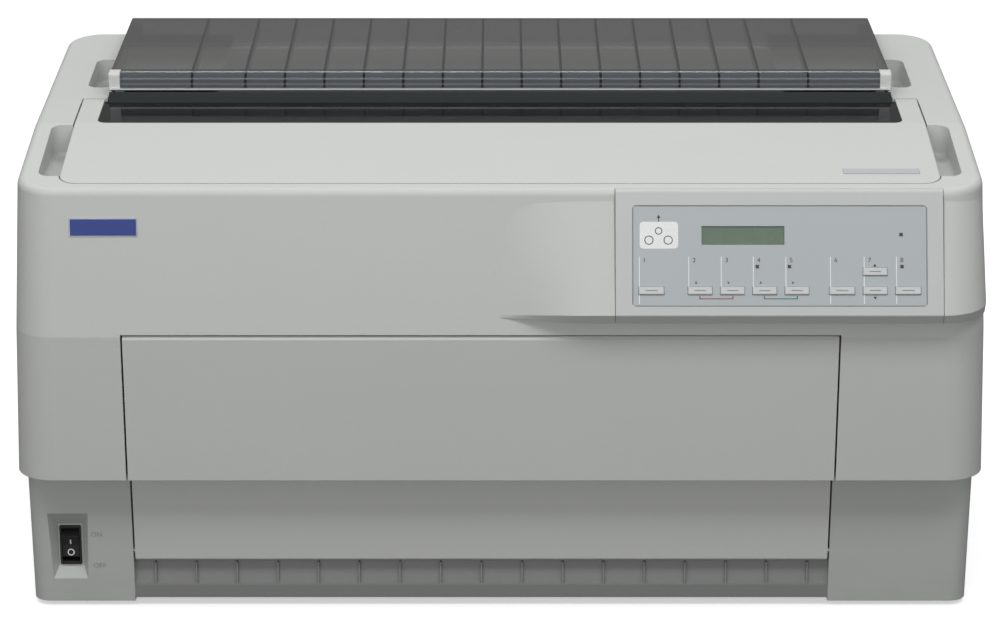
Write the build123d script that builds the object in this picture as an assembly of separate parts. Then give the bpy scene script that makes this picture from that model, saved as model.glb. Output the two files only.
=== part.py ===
from build123d import *
import math
import os

# A wide-carriage dot matrix printer, in millimetres.
# Origin: middle of the footprint, on the surface that the feet stand on.
# +Z up, the operator stands at -Y, +X is the operator's right.

# ---- driving dimensions -------------------------------------------------
FOOT_HEIGHT = 4.0
STEP_HEIGHT = 112.0          # underside of the upper case
CREST_HEIGHT = 342.2         # front edge of the window
CREST_RISE = 14.9            # how far the top climbs from its front edge to there
REAR_RISE = 8.2              # and from there to its rear edge
COVER_STAND = 12.6           # how far the tinted rear cover stands above that
WAIST_DROP = 119.2           # from the crest to where the front starts to lean back
WAIST_HEIGHT = CREST_HEIGHT - WAIST_DROP
FRONT_EDGE_HEIGHT = CREST_HEIGHT - CREST_RISE
REAR_EDGE_HEIGHT = CREST_HEIGHT + REAR_RISE
COVER_TOP = REAR_EDGE_HEIGHT + COVER_STAND

STEP_FRONT = -168.0
WAIST_FRONT = -172.0
EDGE_FRONT = -156.5
CREST_FRONT = -38.0
CASE_REAR = 191.0
CASE_HALF = 350.0            # half-width at the step
SIDE_DRAFT = 0.035           # how much the sides lean in, per mm of height
REAR_TAPER = 0.5             # the rear is this much narrower on each side
CASE_CORNER = 28.0
CASE_WALL = 3.0
TOP_EDGE_ROUND = 5.5

BASE_INSET = 5.5             # how far the base stands back under the case, each side
BASE_HALF = CASE_HALF - BASE_INSET
BASE_TOP_FRONT = -147.0
BASE_FOOT_FRONT = -138.0
BASE_REAR = 168.0
BASE_WALL = 3.0
BASE_CORNER = 12.0

PANEL_CREASE_FRONT = -191.0  # the sloped control panel's lower crease
PANEL_TALL = 81.3            # from the front edge down to the crease
PANEL_CREASE_HEIGHT = FRONT_EDGE_HEIGHT - PANEL_TALL
PANEL_UNDER_FRONT = -185.5
PANEL_UNDER_HEIGHT = PANEL_CREASE_HEIGHT - 7.5
PANEL_ROOT_HEIGHT = PANEL_CREASE_HEIGHT - 10.0
PANEL_WIDE = 230.2
PANEL_RIGHT = CASE_HALF - 38.8
PANEL_LEFT = PANEL_RIGHT - PANEL_WIDE
BULGE_START = PANEL_LEFT - 87.0  # where the panel's bulge grows out of the face
BULGE_FULL = PANEL_LEFT - 15.0
BULGE_CORNER = 34.0
BULGE_TOP = FRONT_EDGE_HEIGHT - 6.8  # the bulge leaves the face here, under the rounded edge
BULGE_SINK = 0.3             # how far its hidden faces lie inside the case
PANEL_SEAM = 0.35
PANEL_WALL = 3.0

COVER_GAP = 0.7
COVER_HALF = CASE_HALF - 37.8
COVER_FRONT = -144.4
COVER_REAR = 18.5
COVER_THICK = 3.0
COVER_CORNER = 13.0
WINDOW_HALF = COVER_HALF - 16.6
WINDOW_CORNER = 7.0
WINDOW_THICK = 2.5
CREASE_Y = 10.0              # where the window turns up towards the tear bar

REAR_COVER_HALF = COVER_HALF - 19.6
REAR_COVER_FRONT = 33.0
REAR_COVER_REAR = 188.0
REAR_COVER_WALL = 2.5
NOSE_FRONT = 22.4
NOSE_HALF = REAR_COVER_HALF - 7.6
TEAR_BAR_Z = REAR_EDGE_HEIGHT - 0.4
TEAR_BAR_THICK = 1.6
RIB_PITCH = 29.6
RIB_CENTRE = 1.5
RIB_THICK = 1.6
RIB_COUNT = 2 * int((REAR_COVER_HALF - 80.0) / RIB_PITCH)
OUTER_RIB = REAR_COVER_HALF - 61.6

FRONT_OPEN_LEFT = -CASE_HALF + 80.8
FRONT_OPEN_RIGHT = CASE_HALF - 108.2
FRONT_OPEN_TOP = WAIST_HEIGHT + 1.6
FRONT_COVER_GAP = 1.3
FRONT_COVER_BOTTOM = 37.0
STRIP_TOP = 34.5
STRIP_FOOT = 7.0
GUIDE_RIB_PITCH = 30.0
GUIDE_RIB_COUNT = int((FRONT_OPEN_RIGHT - FRONT_OPEN_LEFT) / GUIDE_RIB_PITCH)
FRONT_PIVOT_Y = -136.5       # the front cover hangs on two pins near its foot
FRONT_PIVOT_Z = 44.0
FRONT_PIN_R = 2.5

SCREW_R = 2.1
SCREW_PLAY = 0.05
SCREW_HALF = BASE_HALF - 44.5
SCREW_COLUMNS = (-SCREW_HALF, -SCREW_HALF / 3, SCREW_HALF / 3, SCREW_HALF)
SCREW_PLACES = [(x, y) for x in SCREW_COLUMNS for y in (-90.0, BASE_REAR - 38.0)]
INLET_X = -BASE_HALF + 54.5
INLET_Z = 45.0
PORT_X = BASE_HALF - 82.5
PORTS = [
    (PORT_X, PORT_X + 10.0, 24.0, 36.0),
    (PORT_X + 18.0, PORT_X + 36.0, 24.0, 36.0),
    (PORT_X, PORT_X + 64.0, 46.0, 58.0),
]

FRAME_X = CASE_HALF - 104.0  # inner faces of the side frames
FRAME_THICK = 3.0
CHASSIS_THICK = 3.0

PLATEN_Y = -34.0
PLATEN_Z = CREST_HEIGHT - 116.2
PLATEN_R = 18.0
PLATEN_HALF = FRAME_X - 24.0
JOURNAL_R = 6.0
GEAR_MODULE = 1.0
PLATEN_TEETH = 48
PINION_TEETH = 16
GEAR_WIDTH = 6.0

SPROCKET_R = 11.4
PIN_COUNT = 6
SHAFT_SIDE = 8.0
ROD_R = 4.0
REAR_SHAFT = (118.0, 150.0)
FRONT_SHAFT = (-81.0, 66.0)
TRACTOR_X = FRAME_X - 56.0   # middle of each tractor, either side

RAIL_FRONT = (-100.0, PLATEN_Z - 30.0)
RAIL_REAR = (-72.0, PLATEN_Z - 40.0)
RAIL_FRONT_R = 7.0
RAIL_REAR_R = 5.0
PULLEY_X = FRAME_X - 18.0
BELT_Y = -86.0
BELT_Z = PLATEN_Z - 58.0
BELT_THICK = 2.0
BELT_WIDTH = 8.0
PULLEY_R = 12.0

RUNNING = 0.06               # radial clearance of turning fits
SNUG = 0.25                  # gap round parts that slide in a window


# ---- helpers ------------------------------------------------------------
def box(x0, x1, y0, y1, z0, z1):
    middle = ((x0 + x1) / 2, (y0 + y1) / 2, (z0 + z1) / 2)
    return Pos(*middle) * Box(abs(x1 - x0), abs(y1 - y0), abs(z1 - z0))


def prism_x(points, x0, x1):
    """Extrude a (Y, Z) outline from x0 to x1."""
    plane = Plane.YZ.offset(x0)
    return extrude(plane * make_face(Polyline(*points, close=True)), x1 - x0)


def rod_x(x0, x1, y, z, radius):
    return Plane.YZ.offset(x0) * Pos(y, z, 0) * extrude(Circle(radius), x1 - x0)


def rod_z(x, y, z0, z1, radius):
    return Pos(x, y, z0) * extrude(Circle(radius), z1 - z0)


def mirrored(shape):
    return mirror(shape, about=Plane.YZ)


def save(name, *solids):
    shape = solids[0] if len(solids) == 1 else Compound(children=list(solids))
    export_step(shape, f"parts/{name}.step")


def single(shape):
    """The one solid of a boolean result."""
    found = shape.solids()
    assert len(found) == 1, f"{len(found)} solids where one was meant"
    return found[0]


# ---- case outline -------------------------------------------------------
def case_half(z):
    return CASE_HALF - SIDE_DRAFT * (z - STEP_HEIGHT)


def top_z(y):
    """Height of the case's top surface above a depth y."""
    if y < CREST_FRONT:
        rise = (CREST_HEIGHT - FRONT_EDGE_HEIGHT) / (CREST_FRONT - EDGE_FRONT)
        return FRONT_EDGE_HEIGHT + rise * (y - EDGE_FRONT)
    rise = (REAR_EDGE_HEIGHT - CREST_HEIGHT) / (CASE_REAR - CREST_FRONT)
    return CREST_HEIGHT + rise * (y - CREST_FRONT)


def top_slab(y0, y1, upper, lower, x0, x1):
    """Slab that follows the top surface, between two depths under it."""
    ys = [y0] + ([CREST_FRONT] if y0 < CREST_FRONT < y1 else []) + [y1]
    above = [(y, top_z(y) - upper) for y in ys]
    below = [(y, top_z(y) - lower) for y in reversed(ys)]
    return prism_x(above + below, x0, x1)


def plan_section(z, front, half, corner, rear=CASE_REAR, taper=REAR_TAPER):
    outline = Polygon(
        (-half, front),
        (half, front),
        (half - taper, rear),
        (-half + taper, rear),
        align=None,
    )
    return Pos(0, 0, z) * fillet(outline.vertices(), corner)


def face_front(z):
    """Depth of the front face at a height, on the straight run it lies on."""
    if z < WAIST_HEIGHT:
        share = (z - STEP_HEIGHT) / (WAIST_HEIGHT - STEP_HEIGHT)
        return STEP_FRONT + share * (WAIST_FRONT - STEP_FRONT)
    share = (z - WAIST_HEIGHT) / (FRONT_EDGE_HEIGHT - WAIST_HEIGHT)
    return WAIST_FRONT + share * (EDGE_FRONT - WAIST_FRONT)


def case_body(inset, z_low):
    levels = [z_low, WAIST_HEIGHT, REAR_EDGE_HEIGHT + 4]
    sections = [
        plan_section(
            z,
            face_front(z) + inset,
            case_half(z) - inset,
            CASE_CORNER - inset,
            CASE_REAR - inset,
        )
        for z in levels
    ]
    return loft(sections, ruled=True)


def under_top(drop):
    ys = [-230.0, CREST_FRONT, 230.0]
    roof = [(y, top_z(y) - drop) for y in ys]
    return prism_x([(-230.0, 0.0)] + roof + [(230.0, 0.0)], -400, 400)


# ---- control panel bulge ------------------------------------------------
PANEL_RUN = math.hypot(
    PANEL_CREASE_FRONT - EDGE_FRONT, PANEL_CREASE_HEIGHT - FRONT_EDGE_HEIGHT
)
PANEL_DOWN = (
    (PANEL_CREASE_FRONT - EDGE_FRONT) / PANEL_RUN,
    (PANEL_CREASE_HEIGHT - FRONT_EDGE_HEIGHT) / PANEL_RUN,
)
PANEL_NORMAL = (PANEL_DOWN[1], -PANEL_DOWN[0])
PANEL_PLANE = Plane(
    origin=(0, EDGE_FRONT, FRONT_EDGE_HEIGHT),
    x_dir=(1, 0, 0),
    z_dir=(0, PANEL_NORMAL[0], PANEL_NORMAL[1]),
)


def on_panel(x0, x1, down0, down1, low, high):
    """Box on the panel: x range, distance down the slope, height off the face."""
    middle = ((x0 + x1) / 2, -(down0 + down1) / 2, (low + high) / 2)
    return PANEL_PLANE * Pos(*middle) * Box(x1 - x0, down1 - down0, high - low)


def bulge_outline(share):
    """(Y, Z) outline of the bulge where it stands out by this share."""
    def out(full_y, full_z, face_z):
        base_y = face_front(face_z) + BULGE_SINK
        return (base_y + share * (full_y - base_y), face_z + share * (full_z - face_z))

    return [
        (face_front(BULGE_TOP) + 2.5, BULGE_TOP),
        (face_front(BULGE_TOP) + BULGE_SINK, BULGE_TOP),
        out(PANEL_CREASE_FRONT, PANEL_CREASE_HEIGHT, PANEL_ROOT_HEIGHT + 3.0),
        out(PANEL_UNDER_FRONT, PANEL_UNDER_HEIGHT, PANEL_ROOT_HEIGHT + 1.0),
        (face_front(PANEL_ROOT_HEIGHT) + 2.5, PANEL_ROOT_HEIGHT),
    ]


def bulge_growth():
    """Stretch where the bulge grows smoothly out of the front face."""
    faces = []
    for step in (0.0, 0.25, 0.5, 0.75, 1.0):
        x = BULGE_START + step * (BULGE_FULL - BULGE_START)
        share = step * step * (3 - 2 * step)
        outline = Polyline(*bulge_outline(share), close=True)
        faces.append(Plane.YZ.offset(x) * make_face(outline))
    return loft(faces)


def bulge_full():
    """Full-depth stretch of the bulge, with its rounded right-hand corner."""
    levels = [
        (BULGE_TOP, face_front(BULGE_TOP), CASE_CORNER),
        (PANEL_CREASE_HEIGHT, PANEL_CREASE_FRONT - BULGE_SINK, BULGE_CORNER),
        (PANEL_UNDER_HEIGHT, PANEL_UNDER_FRONT - BULGE_SINK, BULGE_CORNER),
        (PANEL_ROOT_HEIGHT, face_front(PANEL_ROOT_HEIGHT), BULGE_CORNER),
    ]
    faces = []
    back = -60.0
    for z, front, corner in levels:
        half = case_half(z) - BULGE_SINK
        y0 = front + BULGE_SINK
        lean = REAR_TAPER * (back - y0) / (CASE_REAR - WAIST_FRONT)
        outline = Polygon(
            (BULGE_FULL, y0), (half, y0), (half - lean, back), (BULGE_FULL, back), align=None
        )
        nearest = outline.vertices().sort_by(Axis.Y)[:2].sort_by(Axis.X)[-1]
        faces.append(Pos(0, 0, z) * fillet(nearest, corner))
    return loft(faces, ruled=True)


def case_outside():
    body = case_body(0.0, STEP_HEIGHT) & under_top(0.0)
    roof = body.edges().filter_by(lambda e: e.center().Z > FRONT_EDGE_HEIGHT - 1.0)
    body = fillet(roof.filter_by(lambda e: not roof_ridge(e)), TOP_EDGE_ROUND)
    return single(body + bulge_growth() + bulge_full())


def panel_region(gap):
    """Space that the panel housing takes out of the case."""
    outline = [
        (EDGE_FRONT + 3.2 + gap, COVER_TOP),
        (EDGE_FRONT + 3.2 + gap, FRONT_EDGE_HEIGHT - 11.0),
        (face_front(PANEL_ROOT_HEIGHT) + 7.0 + gap, PANEL_ROOT_HEIGHT + 4.0),
        (face_front(PANEL_ROOT_HEIGHT) + 7.0 + gap, PANEL_ROOT_HEIGHT - 0.4 - gap),
        (-230.0, PANEL_ROOT_HEIGHT - 0.4 - gap),
        (-230.0, COVER_TOP),
    ]
    return prism_x(outline, PANEL_LEFT - gap, PANEL_RIGHT + gap)


# ---- upper case ---------------------------------------------------------
RECESS_FLOOR = 18.0
RECESS_SKIN = 2.5
SCOOP_R = 15.0
SCOOP_Y = 97.0
SCOOP_DEPTH = 10.0
FRONT_RECESS = (COVER_HALF + COVER_GAP - 9.0, COVER_HALF + 15.8, -132.0, -42.0)
REAR_RECESS = (REAR_COVER_HALF + 1.2, REAR_COVER_HALF + 19.8, 47.0, 118.0)
CHUTE_HALF = FRAME_X - 33.0
CHUTE_FRONT = 62.0
CHUTE_FLOOR_FRONT = REAR_EDGE_HEIGHT - 13.4
CHUTE_FLOOR_REAR = REAR_EDGE_HEIGHT - 8.9
PIVOT_Y = 14.5
PIVOT_Z = CREST_HEIGHT - 1.4
PIVOT_R = 1.5
LID_PIVOT_Y = REAR_COVER_REAR - 7.0
LID_PIVOT_Z = COVER_TOP - 6.8
LID_PIVOT_R = 2.0
LUG_HALF = 4.0
OPENING_REAR = PIVOT_Y + 5.7
ENTRY_LOW = REAR_SHAFT[1] + 2.0
ENTRY_HIGH = ENTRY_LOW + 29.0
ENTRY_HALF = FRAME_X - 20.0
WELL_LOW = CREST_HEIGHT - 92.0
THROAT_LOW = CREST_HEIGHT - 42.0


def recess_block(limits, grow, floor):
    x0, x1, y0, y1 = limits
    block = box(x0 - grow, x1 + grow, y0 - grow, y1 + grow, floor, COVER_TOP)
    block = fillet(block.edges().filter_by(Axis.Z), 8.0 + grow)
    return fillet(block.faces().sort_by(Axis.Z)[0].edges(), 3.5 + grow)


def finger_scoop(grow):
    """Deeper round well in the rear recess, next to the rear cover's edge."""
    x0 = REAR_RECESS[0] - grow
    reach = SCOOP_R + grow
    low = recess_floor(REAR_RECESS) - SCOOP_DEPTH - grow
    well = rod_z(REAR_RECESS[0] + 1.0, SCOOP_Y, low, COVER_TOP, reach)
    return well & box(x0, x0 + 3 * reach, SCOOP_Y - reach, SCOOP_Y + reach, low, COVER_TOP)


def recess_floor(limits):
    return top_z((limits[2] + limits[3]) / 2) - RECESS_FLOOR


def both_sides(shape):
    return shape + mirrored(shape)


def cover_outline(grow, low):
    """Column over the printer cover's outline, grown by a gap."""
    x1 = COVER_HALF + grow
    y0 = COVER_FRONT - grow
    y1 = OPENING_REAR if grow > 0 else COVER_REAR
    column = box(-x1, x1, y0, y1, low, COVER_TOP)
    front = column.edges().filter_by(Axis.Z).group_by(Axis.Y)[0]
    return fillet(front, COVER_CORNER + grow)


def case_top_openings():
    ledge_half = COVER_HALF - 8.0
    shelf = cover_outline(COVER_GAP, WELL_LOW) & under_top(-20) - under_top(COVER_THICK + 0.3)
    well = box(-ledge_half, ledge_half, COVER_FRONT + 8.0, 2.0, WELL_LOW, COVER_TOP)
    well = fillet(well.edges().filter_by(Axis.Z).group_by(Axis.Y)[0], 6.0)
    back_half = COVER_HALF + COVER_GAP
    back = box(-back_half, back_half, 1.0, OPENING_REAR, THROAT_LOW, COVER_TOP)
    behind_half = REAR_COVER_HALF + 1.6
    behind = box(-behind_half, behind_half, OPENING_REAR - 1, 34.0, THROAT_LOW, COVER_TOP)
    throat_half = REAR_COVER_HALF - 8.6
    throat = box(-throat_half, throat_half, 33.0, CHUTE_FRONT - 3.0, THROAT_LOW, COVER_TOP)
    return [shelf, well, back, behind, throat]


def chute_cut():
    outline = [
        (CHUTE_FRONT, CHUTE_FLOOR_FRONT),
        (CASE_REAR + 10, CHUTE_FLOOR_REAR),
        (CASE_REAR + 10, COVER_TOP),
        (CHUTE_FRONT, COVER_TOP),
    ]
    return prism_x(outline, -CHUTE_HALF, CHUTE_HALF)


def chute_tray():
    outline = [
        (CHUTE_FRONT - 3.0, CHUTE_FLOOR_FRONT - 3.0),
        (CASE_REAR - 1.0, CHUTE_FLOOR_REAR - 3.0),
        (CASE_REAR - 1.0, top_z(CASE_REAR) - 1.0),
        (CHUTE_FRONT - 3.0, top_z(CHUTE_FRONT) - 1.0),
    ]
    return prism_x(outline, -CHUTE_HALF - 3.0, CHUTE_HALF + 3.0)


def upper_case():
    shell = case_outside() - (case_body(CASE_WALL, STEP_HEIGHT + CASE_WALL) & under_top(CASE_WALL))

    # shelf that the printer cover rests on, and the housings of the recesses
    rim_half = COVER_HALF + 5.8
    rim = top_slab(COVER_FRONT - 4, PIVOT_Y + 8, 1.0, COVER_THICK + 3.3, -rim_half, rim_half)
    rim -= box(9.2 - COVER_HALF, COVER_HALF - 9.2, COVER_FRONT + 9.5, 40, WELL_LOW, COVER_TOP)
    shell += rim & case_body(1.0, STEP_HEIGHT)
    for limits in (FRONT_RECESS, REAR_RECESS):
        floor = recess_floor(limits)
        housing = recess_block(limits, RECESS_SKIN, floor - RECESS_SKIN)
        shell += both_sides(housing) & under_top(1.0)
    shell += both_sides(finger_scoop(RECESS_SKIN)) & under_top(1.0)
    shell += chute_tray()

    for cut in case_top_openings():
        shell -= cut
    for limits in (FRONT_RECESS, REAR_RECESS):
        shell -= both_sides(recess_block(limits, 0.0, recess_floor(limits)))
    shell -= both_sides(finger_scoop(0.0))
    shell -= chute_cut()

    # bosses for the printer cover's pins, lugs for the rear cover's pins
    boss_in = COVER_HALF + COVER_GAP
    boss = box(boss_in, boss_in + 8.1, PIVOT_Y - 5, PIVOT_Y + 5, PIVOT_Z - 5, PIVOT_Z + 1.5)
    shell += both_sides(boss)
    shell -= both_sides(rod_x(COVER_HALF - 2, boss_in + 6.6, PIVOT_Y, PIVOT_Z, PIVOT_R))
    lug_in = REAR_COVER_HALF - REAR_COVER_WALL - 6.0
    lug_low = top_z(LID_PIVOT_Y) - 2
    lug_front = LID_PIVOT_Y - LUG_HALF
    lug = box(lug_in, lug_in + 5.0, lug_front, LID_PIVOT_Y + LUG_HALF, lug_low, LID_PIVOT_Z)
    lug += rod_x(lug_in, lug_in + 5.0, LID_PIVOT_Y, LID_PIVOT_Z, 4.0)
    shell += both_sides(lug)
    shell -= both_sides(rod_x(lug_in - 1, lug_in + 6.0, LID_PIVOT_Y, LID_PIVOT_Z, LID_PIVOT_R))

    # front cover opening, panel housing, underside hole, rear slots
    low = STEP_HEIGHT - 12.0
    shell -= box(FRONT_OPEN_LEFT, FRONT_OPEN_RIGHT, -200, -120, low, FRONT_OPEN_TOP)
    shell -= panel_region(PANEL_SEAM)
    inner = BASE_HALF - BASE_WALL - 3.0
    hole_front = BASE_TOP_FRONT + BASE_WALL + 3.0
    hole_rear = BASE_REAR - BASE_WALL - 3.0
    shell -= box(-inner, inner, hole_front, hole_rear, low, STEP_HEIGHT + CASE_WALL + 5.0)
    shell -= box(-ENTRY_HALF, ENTRY_HALF, 150, 200, ENTRY_LOW, ENTRY_HIGH)
    for side in (-1, 1):
        for row in range(7):
            z = PLATEN_Z - 11.0 + row * 10.0
            middle = side * (FRAME_X - 96.0)
            shell -= box(middle - 60, middle + 60, 180, 200, z, z + 4.0)
    return single(shell)


def roof_ridge(edge):
    """True for the edges that run straight across the roof."""
    size = edge.bounding_box().size
    across = size.X > 500 and size.Y < 1.0
    crest = abs(edge.center().Y - CREST_FRONT) < 1.0
    return across and crest


# ---- control panel ------------------------------------------------------
OVERLAY = (PANEL_LEFT + 11.9, PANEL_RIGHT - 11.5, 10.6, 81.7)
OVERLAY_THICK = 0.8
OVERLAY_SINK = 0.3
LCD = (PANEL_LEFT + 60.4, PANEL_LEFT + 118.6, 25.1, 38.3)
KEY_ROW = (67.9, 73.3)
UPPER_KEY_ROW = (54.5, 59.9)
KEY_WIDTH = 17.0
WIDE_KEY = 17.8
KEY_RISE = 1.3
KEY_DEPTH = 9.0
KEYS = {
    "tractor_select_button": (PANEL_LEFT + 16.2, WIDE_KEY, KEY_ROW),
    "font_button": (PANEL_LEFT + 50.8, KEY_WIDTH, KEY_ROW),
    "pitch_button": (PANEL_LEFT + 73.5, KEY_WIDTH, KEY_ROW),
    "tear_off_button": (PANEL_LEFT + 96.0, KEY_WIDTH, KEY_ROW),
    "top_of_form_button": (PANEL_LEFT + 118.7, KEY_WIDTH, KEY_ROW),
    "feed_button": (PANEL_LEFT + 149.9, WIDE_KEY, KEY_ROW),
    "micro_up_button": (PANEL_LEFT + 173.6, KEY_WIDTH, UPPER_KEY_ROW),
    "micro_down_button": (PANEL_LEFT + 173.6, KEY_WIDTH, KEY_ROW),
    "pause_button": (PANEL_LEFT + 196.3, WIDE_KEY, KEY_ROW),
}
LAMP = 2.3
LAMPS = [
    (PANEL_LEFT + 99.5, 53.6),
    (PANEL_LEFT + 122.0, 53.6),
    (PANEL_LEFT + 201.0, 53.6),
    (PANEL_LEFT + 200.5, 31.1),
]


def key_space(key, gap, low, high):
    x0, width, rows = KEYS[key]
    return on_panel(x0 - gap, x0 + width + gap, rows[0] - gap, rows[1] + gap, low, high)


def lamp_space(lamp, gap, low, high):
    x, down = lamp
    half = LAMP / 2 + gap
    return on_panel(x - half, x + half, down - half, down + half, low, high)


def overlay_space(gap, low, high):
    x0, x1, d0, d1 = OVERLAY
    plate = on_panel(x0 - gap, x1 + gap, d0 - gap, d1 + gap, low, high)
    corners = plate.edges().filter_by(
        lambda e: abs(e.length - (high - low)) < 0.01 and abs(e.tangent_at(0).X) < 0.01
    )
    return fillet(corners, 3.0 + gap)


def panel_housing():
    root_y = face_front(PANEL_ROOT_HEIGHT) + 7.0
    outline = [
        (EDGE_FRONT + 3.2, FRONT_EDGE_HEIGHT - 11.0),
        (EDGE_FRONT + 3.2, top_z(EDGE_FRONT + 3.2)),
        (EDGE_FRONT, FRONT_EDGE_HEIGHT),
        (PANEL_CREASE_FRONT, PANEL_CREASE_HEIGHT),
        (PANEL_UNDER_FRONT, PANEL_UNDER_HEIGHT),
        (face_front(PANEL_ROOT_HEIGHT), PANEL_ROOT_HEIGHT),
        (root_y, PANEL_ROOT_HEIGHT),
        (root_y, PANEL_ROOT_HEIGHT + 4.0),
    ]
    shape = prism_x(outline, PANEL_LEFT, PANEL_RIGHT)
    for y, z, radius in (
        (EDGE_FRONT, FRONT_EDGE_HEIGHT, 3.0), (PANEL_CREASE_FRONT, PANEL_CREASE_HEIGHT, 1.5),
    ):
        corner = shape.edges().filter_by(Axis.X).sort_by(
            lambda e: math.hypot(e.center().Y - y, e.center().Z - z)
        )[0]
        shape = fillet(corner, radius)
    hollow = on_panel(
        PANEL_LEFT + PANEL_WALL, PANEL_RIGHT - PANEL_WALL, 12.0, PANEL_RUN - 4.0, -40.0, -PANEL_WALL
    )
    under = box(-400, 400, -250, -100, 0, PANEL_ROOT_HEIGHT + PANEL_WALL)
    shape -= hollow - under
    top = OVERLAY_THICK + OVERLAY_SINK
    shape -= overlay_space(0.15, -top, 5.0)
    for key in KEYS:
        shape -= key_space(key, SNUG, -20.0, 5.0)
    for lamp in LAMPS:
        shape -= lamp_space(lamp, 0.1, -20.0, 5.0)
    x0, x1, d0, d1 = LCD
    shape -= on_panel(x0 - 0.2, x1 + 0.2, d0 - 0.2, d1 + 0.2, -20.0, 5.0)
    return single(shape)


def panel_overlay():
    sheet = overlay_space(0.0, -OVERLAY_THICK - OVERLAY_SINK, -OVERLAY_SINK)
    for key in KEYS:
        sheet -= key_space(key, SNUG, -5.0, 5.0)
    for lamp in LAMPS:
        sheet -= lamp_space(lamp, 0.1, -5.0, 5.0)
    x0, x1, d0, d1 = LCD
    sheet -= on_panel(x0, x1, d0, d1, -5.0, 5.0)
    return single(sheet)


def button(key):
    x0, width, rows = KEYS[key]
    cap = key_space(key, 0.0, -KEY_DEPTH, KEY_RISE)
    face = cap.faces().filter_by(lambda f: f.normal_at().Z > 0.3 and f.normal_at().Y < -0.8)
    cap = chamfer(face.edges(), 0.5)
    middle = (rows[0] + rows[1]) / 2
    return single(cap - on_panel(x0 + 4.5, x0 + width - 4.5, middle - 0.3, middle + 0.3, 0.9, 2.0))


def display_window():
    x0, x1, d0, d1 = LCD
    return on_panel(x0, x1, d0, d1, -3.6, -1.6)


def indicator_lenses():
    return [lamp_space(lamp, 0.0, -4.0, 0.0) for lamp in LAMPS]


def badge_plate():
    lean = math.atan2(EDGE_FRONT - WAIST_FRONT, FRONT_EDGE_HEIGHT - WAIST_HEIGHT)
    z = FRONT_EDGE_HEIGHT - 26.0
    plane = Plane(
        origin=(-CASE_HALF + 70.6, face_front(z), z),
        x_dir=(1, 0, 0),
        z_dir=(0, -math.cos(lean), math.sin(lean)),
    )
    plate = extrude(Rectangle(48.0, 13.2), 0.8)
    plate = chamfer(plate.faces().sort_by(Axis.Z)[-1].edges(), 0.3)
    return plane * plate


# ---- lower case ---------------------------------------------------------
def base_front(z):
    share = (z - FOOT_HEIGHT) / (STEP_HEIGHT - FOOT_HEIGHT)
    return BASE_FOOT_FRONT + share * (BASE_TOP_FRONT - BASE_FOOT_FRONT)


SWITCH_X = -BASE_HALF + 28.5
SWITCH_Z = 47.0
SWITCH_RECESS = 9.0
SWITCH_Y = base_front(SWITCH_Z) + SWITCH_RECESS
SWITCH_PLATE = (15.8, 30.8)


def base_body(inset, z_low, z_high):
    faces = []
    for z in (z_low, z_high):
        front = base_front(z) + inset
        half = BASE_HALF - inset
        faces.append(
            plan_section(z, front, half, BASE_CORNER - inset / 2, BASE_REAR - inset, 0.0)
        )
    return loft(faces, ruled=True)


def switch_recess():
    clear = 3.0
    mouth_y = base_front(SWITCH_Z) - clear
    mouth = Plane((SWITCH_X, mouth_y, SWITCH_Z), x_dir=(1, 0, 0), z_dir=(0, 1, 0))
    wide = mouth * Rectangle(SWITCH_PLATE[0] + 14.4, SWITCH_PLATE[1] + 29.0)
    narrow = mouth.offset(SWITCH_RECESS + clear) * Rectangle(SWITCH_PLATE[0] + 2.4, SWITCH_PLATE[1] + 2.4)
    return loft([wide, narrow], ruled=True)


def lower_case():
    shell = base_body(0.0, FOOT_HEIGHT, STEP_HEIGHT)
    shell -= base_body(BASE_WALL, FOOT_HEIGHT + BASE_WALL, STEP_HEIGHT)

    # tower walls either side of the front cover, then the opening between them
    for x0 in (FRONT_OPEN_LEFT - BASE_WALL, FRONT_OPEN_RIGHT):
        wall = box(x0, x0 + BASE_WALL, -150, -112, FOOT_HEIGHT + 0.5, STEP_HEIGHT)
        shell += wall & base_body(0.0, FOOT_HEIGHT, STEP_HEIGHT)
    shell -= box(FRONT_OPEN_LEFT, FRONT_OPEN_RIGHT, -160, -118, FOOT_HEIGHT - 1, STEP_HEIGHT + 1)
    floor = box(FRONT_OPEN_LEFT - 1, FRONT_OPEN_RIGHT + 1, -124, -110, FOOT_HEIGHT, FOOT_HEIGHT + 3.0)
    shell += floor

    # power switch recess in the left tower
    x = SWITCH_X
    block = box(x - 17, x + 17, base_front(80) + 0.5, SWITCH_Y + 3.0, SWITCH_Z - 30, SWITCH_Z + 30)
    shell += block & base_body(1.0, FOOT_HEIGHT, STEP_HEIGHT)
    shell -= switch_recess()
    shell -= box(x - 7.6, x + 7.6, -150, -110, SWITCH_Z - 15.0, SWITCH_Z + 15.0)

    # pin holes for the front cover, screw holes, rear sockets and vents
    shell -= front_hinge_bores(FRONT_PIN_R)
    for sx, sy in SCREW_PLACES:
        shell -= rod_z(sx, sy, FOOT_HEIGHT - 1, 20, SCREW_R + SCREW_PLAY)
    shell -= box(INLET_X - 14.0, INLET_X + 14.0, 160, 175, INLET_Z - 10.0, INLET_Z + 10.0)
    for x0, x1, z0, z1 in PORTS:
        shell -= box(x0 - 0.3, x1 + 0.3, 160, 175, z0 - 0.3, z1 + 0.3)
    for row in range(6):
        z = 40.0 + row * 9.0
        shell -= box(-120, 120, 160, 175, z, z + 4.0)
    return single(shell)


def front_hinge_bores(radius):
    left = rod_x(FRONT_OPEN_LEFT - 4, FRONT_OPEN_LEFT + 1, FRONT_PIVOT_Y, FRONT_PIVOT_Z, radius)
    right = rod_x(FRONT_OPEN_RIGHT - 1, FRONT_OPEN_RIGHT + 4, FRONT_PIVOT_Y, FRONT_PIVOT_Z, radius)
    return left + right


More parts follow.
